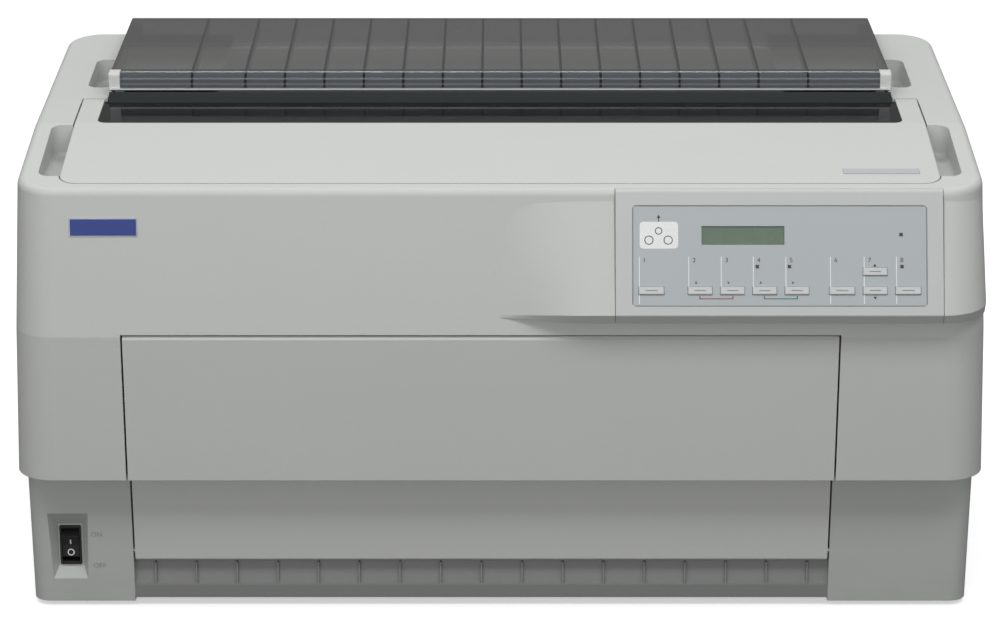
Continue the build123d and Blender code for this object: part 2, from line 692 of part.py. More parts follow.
def front_guide_strip():
    x0 = FRONT_OPEN_LEFT
    x1 = FRONT_OPEN_RIGHT
    bar = prism_x(
        [(-138.6, STRIP_FOOT), (-138.6, 17.5), (-136.0, 18.5), (-132.5, STRIP_TOP),
         (-124.2, STRIP_TOP), (-124.2, STRIP_FOOT)],
        x0, x1,
    )
    bar -= prism_x(
        [(-132, STRIP_FOOT - 1), (-132, 15), (-129, 30), (-127, 30), (-127, STRIP_FOOT - 1)],
        x0 + 3, x1 - 3,
    )
    middle = (x0 + x1) / 2
    for index in range(GUIDE_RIB_COUNT):
        x = middle + (index - (GUIDE_RIB_COUNT - 1) / 2) * GUIDE_RIB_PITCH
        bar += prism_x(
            [(-138.6, 17.0), (-135.4, STRIP_TOP - 0.5), (-132.0, STRIP_TOP - 0.5), (-135.0, 17.0)],
            x - 0.6, x + 0.6,
        )
    # feet of the strip, down to the floor of the lower case
    bar += box(x0, x1, -127.0, -124.2, FOOT_HEIGHT + 3.0, STRIP_FOOT + 1.0)
    return single(bar)


def rubber_feet():
    foot_half = BASE_HALF - 26.5
    places = [(sx * foot_half, y) for sx in (-1, 1) for y in (-112.0, BASE_REAR - 26.0)]
    return [rod_z(x, y, 0.0, FOOT_HEIGHT, 13.0) for x, y in places]


def case_screws():
    screws = []
    for x, y in SCREW_PLACES:
        head = rod_z(x, y, FOOT_HEIGHT - 2.2, FOOT_HEIGHT, 3.8)
        shank = rod_z(x, y, FOOT_HEIGHT, FOOT_HEIGHT + BASE_WALL + CHASSIS_THICK + 3.0, SCREW_R)
        screws.append(single(head + shank))
    return screws


# ---- power switch -------------------------------------------------------
ROCKER_HALF = 11.6           # its back; its face is shorter, so its ends slant
ROCKER_FACE_HALF = 8.6
ROCKER_TILT = 8.0            # at rest the upper half stands proud, which is off
ROCKER_PIVOT_Y = SWITCH_Y + 4.6


def switch_bezel():
    x = SWITCH_X
    half_x, half_z = (size / 2 for size in SWITCH_PLATE)
    flange = box(x - half_x, x + half_x, SWITCH_Y - 1.4, SWITCH_Y, SWITCH_Z - half_z, SWITCH_Z + half_z)
    flange = fillet(flange.edges().filter_by(Axis.Y), 1.2)
    sleeve = box(x - 7.5, x + 7.5, SWITCH_Y, SWITCH_Y + 16.0, SWITCH_Z - 14.9, SWITCH_Z + 14.9)
    body = flange + sleeve
    body -= box(x - 6.4, x + 6.4, SWITCH_Y - 5, SWITCH_Y + 13.0, SWITCH_Z - 13.2, SWITCH_Z + 13.2)
    body -= rod_x(x - 7.6, x + 7.6, ROCKER_PIVOT_Y, SWITCH_Z, 1.5 + RUNNING)
    return single(body)


def power_rocker():
    front = SWITCH_Y - 2.2
    waist = SWITCH_Y - 0.6
    back = ROCKER_PIVOT_Y + 3.0
    outline = [
        (front, SWITCH_Z + ROCKER_FACE_HALF),
        (waist, SWITCH_Z),
        (front, SWITCH_Z - ROCKER_FACE_HALF),
        (back, SWITCH_Z - ROCKER_HALF),
        (back, SWITCH_Z + ROCKER_HALF),
    ]
    x = SWITCH_X
    shape = prism_x(outline, x - 6.1, x + 6.1)
    shape += rod_x(x - 7.4, x + 7.4, ROCKER_PIVOT_Y, SWITCH_Z, 1.5)
    pivot = Axis((0, ROCKER_PIVOT_Y, SWITCH_Z), (1, 0, 0))
    return single(shape.rotate(pivot, ROCKER_TILT))


# ---- printer cover ------------------------------------------------------
def printer_cover():
    plate = cover_outline(0.0, WELL_LOW) & top_slab(
        COVER_FRONT - 20, COVER_REAR, 0.0, COVER_THICK, -COVER_HALF, COVER_HALF
    )
    notch = box(-WINDOW_HALF - 0.4, WINDOW_HALF + 0.4, CREST_FRONT, 60, THROAT_LOW, COVER_TOP)
    notch = fillet(notch.edges().filter_by(Axis.Z).group_by(Axis.Y)[0], WINDOW_CORNER)
    plate -= notch
    edges = plate.edges().filter_by(
        lambda e: e.center().Z > top_z(e.center().Y) - 0.4
        and (abs(e.center().X) > COVER_HALF - 5 or e.center().Y < COVER_FRONT + 6)
    )
    plate = chamfer(edges, 0.5)
    skirt_half = COVER_HALF - 12.2
    skirt = top_slab(COVER_FRONT + 9.5, -50.0, COVER_THICK - 0.5, 11.0, -skirt_half, skirt_half)
    inner = skirt_half - 2.5
    skirt -= box(-inner, inner, COVER_FRONT + 12.0, -52.5, WELL_LOW, COVER_TOP)
    plate += skirt
    for side in (-1, 1):
        x0 = side * (COVER_HALF - 12.0)
        x1 = side * COVER_HALF
        lug = rod_x(min(x0, x1), max(x0, x1), PIVOT_Y, PIVOT_Z, 3.1)
        plate += lug
        middle = side * (COVER_HALF - 8.2)
        plate -= rod_x(middle - 15, middle + 15, PIVOT_Y, PIVOT_Z, PIVOT_R + RUNNING)
    return single(plate)


def cover_window():
    inlay = top_slab(CREST_FRONT + 0.4, CREASE_Y, 0.5, COVER_THICK + 0.6, -WINDOW_HALF, WINDOW_HALF)
    inlay = fillet(inlay.edges().filter_by(Axis.Z).group_by(Axis.Y)[0], WINDOW_CORNER - 0.4)
    flange_half = WINDOW_HALF + 3.9
    flange_low = COVER_THICK + WINDOW_THICK
    flange = top_slab(CREST_FRONT - 8.0, 6.0, COVER_THICK, flange_low, -flange_half, flange_half)
    rise_y = 19.0
    rise_z = TEAR_BAR_Z - 0.4
    rise = prism_x(
        [
            (CREASE_Y - 0.5, top_z(CREASE_Y) - 0.5),
            (rise_y, rise_z),
            (rise_y + 0.2, rise_z - 2.4),
            (CREASE_Y + 1.5, top_z(CREASE_Y) - COVER_THICK - 0.6),
            (CREASE_Y - 0.5, top_z(CREASE_Y) - COVER_THICK - 0.6),
        ],
        -REAR_COVER_HALF, REAR_COVER_HALF,
    )
    return single(inlay + flange + rise)


def tear_bar():
    bar = box(-REAR_COVER_HALF, REAR_COVER_HALF, 20.6, 27.0, TEAR_BAR_Z, TEAR_BAR_Z + TEAR_BAR_THICK)
    nearest = bar.edges().filter_by(Axis.X).group_by(Axis.Y)[0].sort_by(Axis.Z)[0]
    return chamfer(nearest, 0.7)


# ---- rear cover ---------------------------------------------------------
def deck_z(y):
    return top_z(y) + 0.9


def rear_cover():
    h = REAR_COVER_HALF
    wall = REAR_COVER_WALL
    y0 = REAR_COVER_FRONT + 0.5
    y1 = REAR_COVER_REAR
    plate = box(-h, h, y0, y1, COVER_TOP - wall, COVER_TOP)
    side = prism_x(
        [
            (y0, deck_z(y0)),
            (LID_PIVOT_Y - 11.0, deck_z(LID_PIVOT_Y - 11.0)),
            (LID_PIVOT_Y - 6.0, LID_PIVOT_Z - 3.6),
            (LID_PIVOT_Y + 3.2, LID_PIVOT_Z - 3.2),
            (y1, COVER_TOP - wall),
            (y1, COVER_TOP),
            (y0, COVER_TOP),
        ],
        h - wall, h,
    )
    cover = plate + both_sides(side)
    cover = fillet(cover.edges().filter_by(Axis.Y).group_by(Axis.Z)[-1], 1.2)

    # rolled nose: a quarter of an ellipse from the plate down to the tear bar
    deep = REAR_COVER_FRONT + 0.5 - NOSE_FRONT - 0.6
    tall = COVER_TOP - TEAR_BAR_Z - TEAR_BAR_THICK
    nose = Ellipse(deep, tall) - Ellipse(deep - 2.4, tall - 2.4)
    centre_y = REAR_COVER_FRONT + 0.5
    nose = Plane.YZ.offset(-NOSE_HALF) * Pos(centre_y, COVER_TOP - tall, 0) * nose
    nose = extrude(nose, 2 * NOSE_HALF)
    front_half = box(-NOSE_HALF, NOSE_HALF, 0, centre_y + 0.01, COVER_TOP - tall, COVER_TOP + 1)
    cover += nose & front_half

    # ribs under the plate, each ending in a web that fills the nose's hollow
    web = Ellipse(deep - 1.2, tall - 1.2) & Pos(-deep / 2, tall / 2) * Rectangle(deep, tall)
    ribs = [RIB_CENTRE + (k - (RIB_COUNT - 1) / 2) * RIB_PITCH for k in range(RIB_COUNT)]
    for x in ribs + [-OUTER_RIB, OUTER_RIB]:
        left = x - RIB_THICK / 2
        right = x + RIB_THICK / 2
        cover += box(left, right, centre_y - 1.0, y1 - 3.0, COVER_TOP - 8.0, COVER_TOP - 1.0)
        cover += extrude(Plane.YZ.offset(left) * Pos(centre_y, COVER_TOP - tall, 0) * web, RIB_THICK)
    bores = rod_x(h - 6.0, h + 1.0, LID_PIVOT_Y, LID_PIVOT_Z, LID_PIVOT_R + RUNNING)
    return single(cover - both_sides(bores))


def rear_cover_end_caps():
    caps = []
    for side in (-1, 1):
        x0 = side * NOSE_HALF
        x1 = side * (REAR_COVER_HALF + 0.6)
        cap = box(min(x0, x1), max(x0, x1), NOSE_FRONT, REAR_COVER_FRONT + 0.5,
                  TEAR_BAR_Z + TEAR_BAR_THICK, COVER_TOP)
        front = cap.edges().filter_by(Axis.X).group_by(Axis.Y)[0].sort_by(Axis.Z)[-1]
        cap = fillet(front, 2.0)
        caps.append(single(cap))
    return caps


def hinge_pins():
    pins = []
    for side in (-1, 1):
        a = side * (COVER_HALF - 11.0)
        b = side * (COVER_HALF + COVER_GAP + 6.6)
        pins.append(rod_x(min(a, b), max(a, b), PIVOT_Y, PIVOT_Z, PIVOT_R))
        a = side * (REAR_COVER_HALF - REAR_COVER_WALL - 6.0)
        b = side * REAR_COVER_HALF
        pins.append(rod_x(min(a, b), max(a, b), LID_PIVOT_Y, LID_PIVOT_Z, LID_PIVOT_R))
    for x in (FRONT_OPEN_LEFT, FRONT_OPEN_RIGHT):
        sign = 1 if x < 0 else -1
        a = x - sign * 3.0
        b = x + sign * (FRONT_COVER_GAP + 3.0)
        pins.append(rod_x(min(a, b), max(a, b), FRONT_PIVOT_Y, FRONT_PIVOT_Z, FRONT_PIN_R))
    return pins


# ---- front cover --------------------------------------------------------
def front_cover():
    x0 = FRONT_OPEN_LEFT + FRONT_COVER_GAP
    x1 = FRONT_OPEN_RIGHT - FRONT_COVER_GAP
    top = FRONT_OPEN_TOP - FRONT_COVER_GAP
    bottom = FRONT_COVER_BOTTOM
    step = STEP_HEIGHT
    t = 3.0
    outer = [
        (face_front(top), top),
        (face_front(step), step),
        (base_front(step) + 0.4, step - 0.6),
        (base_front(bottom + 2), bottom + 2),
        (base_front(bottom) + 2.5, bottom),
    ]
    inner = [
        (FRONT_PIVOT_Y + 1.0, bottom),
        (FRONT_PIVOT_Y + 1.0, bottom + t),
        (base_front(bottom + 6) + t + 0.6, bottom + t),
        (base_front(step) + t + 0.4, step + t - 0.6),
        (face_front(step) + t, step + t),
        (face_front(top - t) + t, top - t),
        (face_front(top) + 9.0, top - t),
        (face_front(top) + 9.0, top),
    ]
    shell = prism_x(outer + inner, x0, x1)
    front_top = shell.edges().filter_by(Axis.X).sort_by(Axis.Z)[-2:].sort_by(Axis.Y)[0]
    shell = chamfer(front_top, 2.2)
    cheek = prism_x(
        [
            (face_front(top) + 1.0, top - 0.5),
            (face_front(step) + 1.0, step + 0.5),
            (base_front(step) + 1.4, step + 0.5),
            (base_front(60.0) + 1.0, 60.0),
            (FRONT_PIVOT_Y - 4.0, FRONT_PIVOT_Z - 5.0),
            (FRONT_PIVOT_Y + 4.5, FRONT_PIVOT_Z - 5.0),
            (FRONT_PIVOT_Y + 4.5, FRONT_PIVOT_Z + 5.0),
            (base_front(step) + 10.0, step),
            (face_front(top) + 12.0, top - 0.5),
        ],
        0.0, 3.0,
    )
    shell += Pos(x0, 0, 0) * cheek
    shell += Pos(x1 - 3.0, 0, 0) * cheek
    shell -= rod_x(x0 - 1, x0 + 4, FRONT_PIVOT_Y, FRONT_PIVOT_Z, FRONT_PIN_R + RUNNING)
    shell -= rod_x(x1 - 4, x1 + 1, FRONT_PIVOT_Y, FRONT_PIVOT_Z, FRONT_PIN_R + RUNNING)
    return single(shell)


# ---- chassis and frames -------------------------------------------------
CHASSIS_LOW = FOOT_HEIGHT + BASE_WALL
CHASSIS_TOP = CHASSIS_LOW + CHASSIS_THICK
IDLER_TAB_Z = BELT_Z - BELT_WIDTH / 2 - 5.0


def chassis_plate():
    half = BASE_HALF - 8.5
    plate = box(-half, half, -110, BASE_REAR - 16, CHASSIS_LOW, CHASSIS_TOP)
    for x, y in SCREW_PLACES:
        plate -= rod_z(x, y, 0, 20, SCREW_R + SCREW_PLAY)
    return single(plate)


def frame_bores(x0, x1):
    fits = [
        ((PLATEN_Y, PLATEN_Z), JOURNAL_R + RUNNING),
        (REAR_SHAFT, SHAFT_SIDE / 2 + RUNNING),
        (FRONT_SHAFT, SHAFT_SIDE / 2 + RUNNING),
        (RAIL_FRONT, RAIL_FRONT_R),
        (RAIL_REAR, RAIL_REAR_R),
        (rear_rod(), ROD_R),
        (front_rod(), ROD_R),
    ]
    return [rod_x(x0, x1, y, z, radius) for (y, z), radius in fits]


def side_frames():
    top = PLATEN_Z + 74
    arm = PLATEN_Z + 40
    outline = [
        (-108, CHASSIS_TOP), (150, CHASSIS_TOP), (150, PLATEN_Z - 41), (60, top), (10, top),
        (-14, arm), (-112, arm), (-116, PLATEN_Z - 36), (-100, 90),
    ]
    frames = []
    for side in (-1, 1):
        a = side * FRAME_X
        b = side * (FRAME_X + FRAME_THICK)
        x0, x1 = min(a, b), max(a, b)
        frame = prism_x(outline, x0, x1)
        c = side * (FRAME_X + 16.0)
        frame += box(min(a, c), max(a, c), -60, 120, CHASSIS_TOP, CHASSIS_TOP + 3.0)
        frame -= box(x0 - 1, x1 + 1, -60, 60, 40, 150)
        for bore in frame_bores(x0 - 1, x1 + 1):
            frame -= bore
        if side < 0:
            # shelf and stud for the idler pulley
            tab_top = IDLER_TAB_Z + 3
            frame += box(-FRAME_X, -PULLEY_X + 12, BELT_Y - 10, BELT_Y + 10, IDLER_TAB_Z, tab_top)
            frame += rod_z(-PULLEY_X, BELT_Y, tab_top, BELT_Z + 8, 3.0)
        frames.append(single(frame))
    return frames


def rear_rod():
    return (REAR_SHAFT[0] - 30.0, REAR_SHAFT[1] - 3.0)


def front_rod():
    return (FRONT_SHAFT[0] + 3.0, FRONT_SHAFT[1] - 30.0)


def guide_rods():
    reach = FRAME_X + FRAME_THICK + 4.0
    rods = []
    sizes = [
        (RAIL_FRONT, RAIL_FRONT_R),
        (RAIL_REAR, RAIL_REAR_R),
        (rear_rod(), ROD_R),
        (front_rod(), ROD_R),
    ]
    for (y, z), radius in sizes:
        rods.append(rod_x(-reach, reach, y, z, radius))
    return rods


# ---- printing -----------------------------------------------------------
def gear_outline(teeth, module):
    """Tooth outline with straight flanks, pointing one tooth along +X."""
    pitch = module * teeth / 2
    tip = pitch + module
    root = pitch - 1.25 * module
    step = 2 * math.pi / teeth
    flank = [(0.11, tip), (0.24, pitch), (0.36, root)]
    tooth = [(-share, radius) for share, radius in reversed(flank)] + flank
    points = []
    for index in range(teeth):
        for share, radius in tooth:
            turn = (index + share) * step
            points.append((radius * math.cos(turn), radius * math.sin(turn)))
    return Polyline(*points, close=True)


def gear_x(teeth, x0, x1, y, z, turn=0.0):
    face = make_face(gear_outline(teeth, GEAR_MODULE))
    return Plane.YZ.offset(x0) * Pos(y, z, 0) * Rot(0, 0, turn) * extrude(face, x1 - x0)


GEAR_X = FRAME_X + FRAME_THICK + 3.0
PINION_Y = PLATEN_Y + GEAR_MODULE * (PLATEN_TEETH + PINION_TEETH) / 2 + 0.25
PINION_Z = PLATEN_Z


def platen():
    roller = rod_x(-PLATEN_HALF, PLATEN_HALF, PLATEN_Y, PLATEN_Z, PLATEN_R)
    shaft = rod_x(-FRAME_X - 10, GEAR_X + GEAR_WIDTH, PLATEN_Y, PLATEN_Z, JOURNAL_R)
    gear = gear_x(PLATEN_TEETH, GEAR_X, GEAR_X + GEAR_WIDTH, PLATEN_Y, PLATEN_Z)
    return single(roller + shaft + gear)


def feed_pinion():
    turn = 180.0 + 180.0 / PINION_TEETH
    pinion = gear_x(PINION_TEETH, GEAR_X, GEAR_X + GEAR_WIDTH, PINION_Y, PINION_Z, turn)
    bore = rod_x(GEAR_X - 1, GEAR_X + GEAR_WIDTH + 1, PINION_Y, PINION_Z, 2.5 + RUNNING)
    return single(pinion - bore)


def drive_motors():
    x0 = GEAR_X + GEAR_WIDTH + 4.0
    feed = box(x0, x0 + 38.0, PINION_Y - 20, PINION_Y + 22, PINION_Z - 21, PINION_Z + 21)
    feed += rod_x(GEAR_X - 2.0, x0, PINION_Y, PINION_Z, 2.5)
    for dz in (-17.0, 17.0):
        feed += rod_x(FRAME_X + FRAME_THICK, x0, PINION_Y + 17.0, PINION_Z + dz, 3.0)
    x1 = FRAME_X
    carriage = box(x1 - 36.0, x1, BELT_Y - 18, BELT_Y + 18, IDLER_TAB_Z - 42.0, IDLER_TAB_Z)
    carriage += rod_z(PULLEY_X, BELT_Y, IDLER_TAB_Z, BELT_Z + 8, 2.5)
    return [single(feed), single(carriage)]


def pulley(x, bore):
    low = BELT_Z - BELT_WIDTH / 2
    high = BELT_Z + BELT_WIDTH / 2
    wheel = rod_z(x, BELT_Y, low - 1.0, high + 1.0, PULLEY_R - 0.3)
    wheel += rod_z(x, BELT_Y, low - 1.4, low - 0.3, PULLEY_R + 2)
    wheel += rod_z(x, BELT_Y, high + 0.3, high + 1.4, PULLEY_R + 2)
    return single(wheel - rod_z(x, BELT_Y, low - 5, high + 5, bore + RUNNING))


def timing_belt():
    def loop(radius):
        low = BELT_Z - BELT_WIDTH / 2
        high = BELT_Z + BELT_WIDTH / 2
        slab = box(-PULLEY_X, PULLEY_X, BELT_Y - radius, BELT_Y + radius, low, high)
        for x in (-PULLEY_X, PULLEY_X):
            slab += rod_z(x, BELT_Y, low, high, radius)
        return slab
    return single(loop(PULLEY_R + BELT_THICK) - loop(PULLEY_R))


CARRIAGE_HALF = 38.0


def carriage():
    low = RAIL_REAR[1] - 9.0
    high = RAIL_FRONT[1] + 12.0
    h = CARRIAGE_HALF
    block = box(-h, h, RAIL_FRONT[0] - 12, RAIL_REAR[0] + 10, low, high)
    block -= rod_x(-h - 1, h + 1, RAIL_FRONT[0], RAIL_FRONT[1], RAIL_FRONT_R + RUNNING)
    block -= rod_x(-h - 1, h + 1, RAIL_REAR[0], RAIL_REAR[1], RAIL_REAR_R + RUNNING)
    run_y = BELT_Y + PULLEY_R + BELT_THICK / 2
    grip = BELT_THICK / 2 + 2.8
    slot = BELT_THICK / 2 + 0.3
    belt_low = BELT_Z - BELT_WIDTH / 2
    belt_high = BELT_Z + BELT_WIDTH / 2
    clamp = box(-12, 12, run_y - grip, run_y + grip, belt_low - 3, low + 1)
    clamp -= box(-13, 13, run_y - slot, run_y + slot, belt_low - 0.3, belt_high + 0.3)
    return single(block + clamp)


def print_head():
    base = RAIL_FRONT[1] + 12.0
    tip = PLATEN_Y - PLATEN_R - 1.6
    head = box(-22, 22, RAIL_FRONT[0] - 10, RAIL_FRONT[0] + 20, base, base + 40)
    for row in range(6):
        z = base + 7 + row * 5.5
        head -= box(-30, 30, RAIL_FRONT[0] - 11, RAIL_FRONT[0] + 12, z, z + 2.5)
    back = RAIL_FRONT[0] + 19
    nose = prism_x(
        [(back, base + 4), (tip, PLATEN_Z - 4), (tip, PLATEN_Z + 4), (back, base + 34)], -7, 7
    )
    return single(head + nose)


KNOB_X = -FRAME_X + 41.0
KNOB_Y = -132.5
CARTRIDGE = (-148.0, -117.0, PLATEN_Z + 8.0, PLATEN_Z + 36.0)
CARTRIDGE_HALF = FRAME_X - 13.0


def ribbon_cartridge():
    y0, y1, z0, z1 = CARTRIDGE
    body = box(-CARTRIDGE_HALF, CARTRIDGE_HALF, y0, y1, z0, z1)
    body = fillet(body.edges().filter_by(Axis.Z), 6.0)
    for side in (-1, 1):
        a, b = side * (CARTRIDGE_HALF - 11.0), side * CARTRIDGE_HALF
        body += box(min(a, b), max(a, b), y1 - 8, -58.0, z0 + 6, z1 - 6)
        c = side * FRAME_X
        body += rod_x(min(b, c), max(b, c), -90.0, (z0 + z1) / 2, 4.0)
    body -= rod_z(KNOB_X, KNOB_Y, z1 - 8, z1 + 1, 3.0 + RUNNING)
    return single(body)


def ribbon_knob():
    top = CARTRIDGE[3]
    knob = rod_z(KNOB_X, KNOB_Y, top + 0.2, top + 12, 9.0)
    knob += rod_z(KNOB_X, KNOB_Y, top - 7.4, top + 0.2, 3.0)
    for step in range(8):
        turn = math.radians(step * 45)
        knob -= rod_z(KNOB_X + 10 * math.cos(turn), KNOB_Y + 10 * math.sin(turn), top, top + 13, 2.2)
    return single(knob)


def paper_guides():
    half = FRAME_X - 22.0
    ramp_low = PLATEN_Z + 24
    ramp_high = CHUTE_FLOOR_FRONT - 6
    ramp_end = CHUTE_FRONT - 5
    exit_ramp = prism_x(
        [(-14, ramp_low), (ramp_end, ramp_high), (ramp_end, ramp_high + 2.5), (-15.5, ramp_low + 1.5)],
        -half, half,
    )
    wide = FRAME_X
    tie_low = ramp_low + (ramp_high - ramp_low) * 0.222
    tie = box(-wide, wide, 8, 14, tie_low, tie_low + 8)
    entry = box(-wide, wide, 136.6, CASE_REAR - 5, ENTRY_LOW + 4, ENTRY_LOW + 7)
    tip = PLATEN_Z - 26
    tongue = prism_x(
        [(76, ENTRY_LOW + 5), (-6, tip), (-6, tip + 2.5), (76, ENTRY_LOW + 7.5)], -wide, wide
    )
    lead_in = prism_x([(-111.5, 14), (-103, 25), (-103, 28), (-111.5, 17)], -wide, wide)
    return [single(exit_ramp + tie), single(entry), single(tongue), single(lead_in)]


# ---- tractors -----------------------------------------------------------
def tractor_frame():
    """Left tractor round a shaft along X at the origin; paper runs on top."""
    plate = box(0, 5, -40, 18, -12, 10.5)
    plate = fillet(plate.edges().filter_by(Axis.X), 4.0)
    for y0, y1 in ((-40, -36.3), (14.3, 18)):
        plate += box(-5.6, 5, y0, y1, 2, 16)
    plate -= rod_x(-6, 6, 0, 0, 8.0 + RUNNING)
    plate -= rod_x(-6, 6, -30, -3, ROD_R + RUNNING)
    for y0, y1 in ((-40.5, -36.0), (14.0, 18.5)):
        plate -= Plane.XZ.offset(-y1) * Pos(-3, 13.5, 0) * extrude(Circle(1.5 + RUNNING), y1 - y0)
    return single(plate)


def tractor_sprocket():
    wheel = rod_x(5.3, 13.3, 0, 0, SPROCKET_R) + rod_x(-0.3, 5.3, 0, 0, 8.0)
    for index in range(PIN_COUNT):
        pin = Pos(9.3, 0, SPROCKET_R - 1.0) * extrude(Circle(1.6), 3.2)
        tip = Pos(9.3, 0, SPROCKET_R + 2.8) * Cone(1.6, 0.9, 1.2)
        wheel += (pin + tip).rotate(Axis.X, index * 360.0 / PIN_COUNT)
    half = SHAFT_SIDE / 2 + 0.1
    return single(wheel - box(-1, 14, -half, half, -half, half))


def tractor_door():
    flap = box(-3, 20, -36, 14, 15.1, 17.1)
    flap += Plane.XZ.offset(-14) * Pos(-3, 13.5, 0) * extrude(Circle(2.4), 50)
    flap += Plane.XZ.offset(-17.5) * Pos(-3, 13.5, 0) * extrude(Circle(1.5), 57)
    flap += box(18, 20, -12, -2, 17.0, 19.0)
    return single(flap)


def place_tractor(shape, side, shaft, front):
    if front:
        shape = shape.rotate(Axis.X, 90)
    if side < 0:
        moved = Pos(-TRACTOR_X - 8, shaft[0], shaft[1]) * shape
    else:
        moved = Pos(TRACTOR_X + 8, shaft[0], shaft[1]) * mirrored(shape)
    return moved


def tractor_shaft(shaft):
    y, z = shaft
    half = SHAFT_SIDE / 2
    bar = box(-FRAME_X + 1, FRAME_X - 1, y - half, y + half, z - half, z + half)
    end = FRAME_X + FRAME_THICK + 5.0
    return single(bar + rod_x(-end, end, y, z, half))


# ---- electrics ----------------------------------------------------------
def power_supply():
    x0 = -BASE_HALF + 9.5
    x1 = -FRAME_X - 16.0
    body = box(x0, x1, -60, 120, CHASSIS_TOP, 100)
    for row in range(9):
        y = -50 + row * 18
        body -= box(x0 + 10, x1 - 10, y, y + 6, 97, 101)
    return single(body)


def logic_board():
    x0 = FRAME_X + 18.0
    x1 = BASE_HALF - 10.5
    board = box(x0, x1, -100, 150, 18, 19.6)
    for x in (x0 + 4, x1 - 4):
        for y in (-94, 144):
            board += rod_z(x, y, CHASSIS_TOP, 18, 3.0)
    chips = [(34, -60, 24, 24, 4), (34, -10, 30, 14, 5), (28, 40, 18, 30, 7), (54, 90, 14, 14, 9)]
    for dx, y, wide, deep, tall in chips:
        x = x0 + dx
        board += box(x - wide / 2, x + wide / 2, y - deep / 2, y + deep / 2, 19.6, 19.6 + tall)
    return single(board)


def interface_connectors():
    sockets = []
    for x0, x1, z0, z1 in PORTS:
        shell = box(x0, x1, 152, BASE_REAR + 1.5, z0, z1)
        shell -= box(x0 + 1.5, x1 - 1.5, BASE_REAR - 6, BASE_REAR + 3, z0 + 1.5, z1 - 1.5)
        sockets.append(single(shell))
    return sockets


def power_inlet():
    x, z = INLET_X, INLET_Z
    body = box(x - 13.6, x + 13.6, 146, BASE_REAR, z - 9.6, z + 9.6)
    body += box(x - 24, x + 24, BASE_REAR, BASE_REAR + 2, z - 12, z + 12)
    body -= box(x - 11, x + 11, 152, BASE_REAR + 3, z - 7.5, z + 7.5)
    for dx, dz in ((-6.5, -1.5), (0, 2.0), (6.5, -1.5)):
        body += box(x + dx - 1, x + dx + 1, 150, BASE_REAR - 2, z + dz - 2.2, z + dz + 2.2)
    return single(body)


# ---- write the parts ----------------------------------------------------
def main():
    os.makedirs("parts", exist_ok=True)
    save("upper_case", upper_case())
    save("lower_case", lower_case())
    save("rubber_feet", *rubber_feet())
    save("chassis_plate", chassis_plate())
    save("side_frames", *side_frames())
    save("guide_rods", *guide_rods())
    save("paper_guides", *paper_guides())
    save("case_screws", *case_screws())
    save("hinge_pins", *hinge_pins())
    save("front_guide_strip", front_guide_strip())
    save("panel_housing", panel_housing())
    save("panel_overlay", panel_overlay())
    save("display_window", display_window())
    save("indicator_lenses", *indicator_lenses())
    save("badge_plate", badge_plate())
    for key in KEYS:
        save(key, button(key))
    save("switch_bezel", switch_bezel())
    save("power_rocker", power_rocker())
    save("printer_cover", printer_cover())
    save("cover_window", cover_window())
    save("tear_bar", tear_bar())
    save("rear_cover", rear_cover())
    save("rear_cover_end_caps", *rear_cover_end_caps())
    save("front_cover", front_cover())
    save("platen", platen())
    save("feed_pinion", feed_pinion())
    save("drive_motors", *drive_motors())
    save("drive_pulley", pulley(PULLEY_X, 2.5))
    save("idler_pulley", pulley(-PULLEY_X, 3.0))
    save("timing_belt", timing_belt())
    save("carriage", carriage())
    save("print_head", print_head())
    save("ribbon_cartridge", ribbon_cartridge())
    save("ribbon_knob", ribbon_knob())
    for end, shaft in (("front", FRONT_SHAFT), ("rear", REAR_SHAFT)):
        save(f"{end}_tractor_shaft", tractor_shaft(shaft))
        for name, side in (("left", -1), ("right", 1)):
            front = end == "front"
            save(f"{end}_tractor_{name}", place_tractor(tractor_frame(), side, shaft, front))
            save(f"{end}_sprocket_{name}", place_tractor(tractor_sprocket(), side, shaft, front))
            save(f"{end}_tractor_door_{name}", place_tractor(tractor_door(), side, shaft, front))
    save("power_supply", power_supply())
    save("logic_board", logic_board())
    save("interface_connectors", *interface_connectors())
    save("power_inlet", power_inlet())


main()
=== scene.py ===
import math
import bmesh
import bpy
from mathutils import Matrix, Vector


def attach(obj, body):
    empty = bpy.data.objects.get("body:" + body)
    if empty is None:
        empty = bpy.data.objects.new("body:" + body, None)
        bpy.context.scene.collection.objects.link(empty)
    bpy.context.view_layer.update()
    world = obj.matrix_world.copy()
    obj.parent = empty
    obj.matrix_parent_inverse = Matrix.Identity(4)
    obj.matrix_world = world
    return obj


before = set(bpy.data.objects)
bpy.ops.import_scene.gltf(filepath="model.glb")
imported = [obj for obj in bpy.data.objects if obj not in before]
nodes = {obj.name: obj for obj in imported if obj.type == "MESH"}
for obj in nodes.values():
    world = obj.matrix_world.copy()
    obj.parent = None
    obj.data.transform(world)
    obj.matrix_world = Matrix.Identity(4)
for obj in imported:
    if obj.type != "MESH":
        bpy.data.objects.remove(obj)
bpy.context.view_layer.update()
print("frame loaded:", len(nodes), "nodes")

mm = 0.001
tiny = 1e-6                     # millimetres; less than this is level


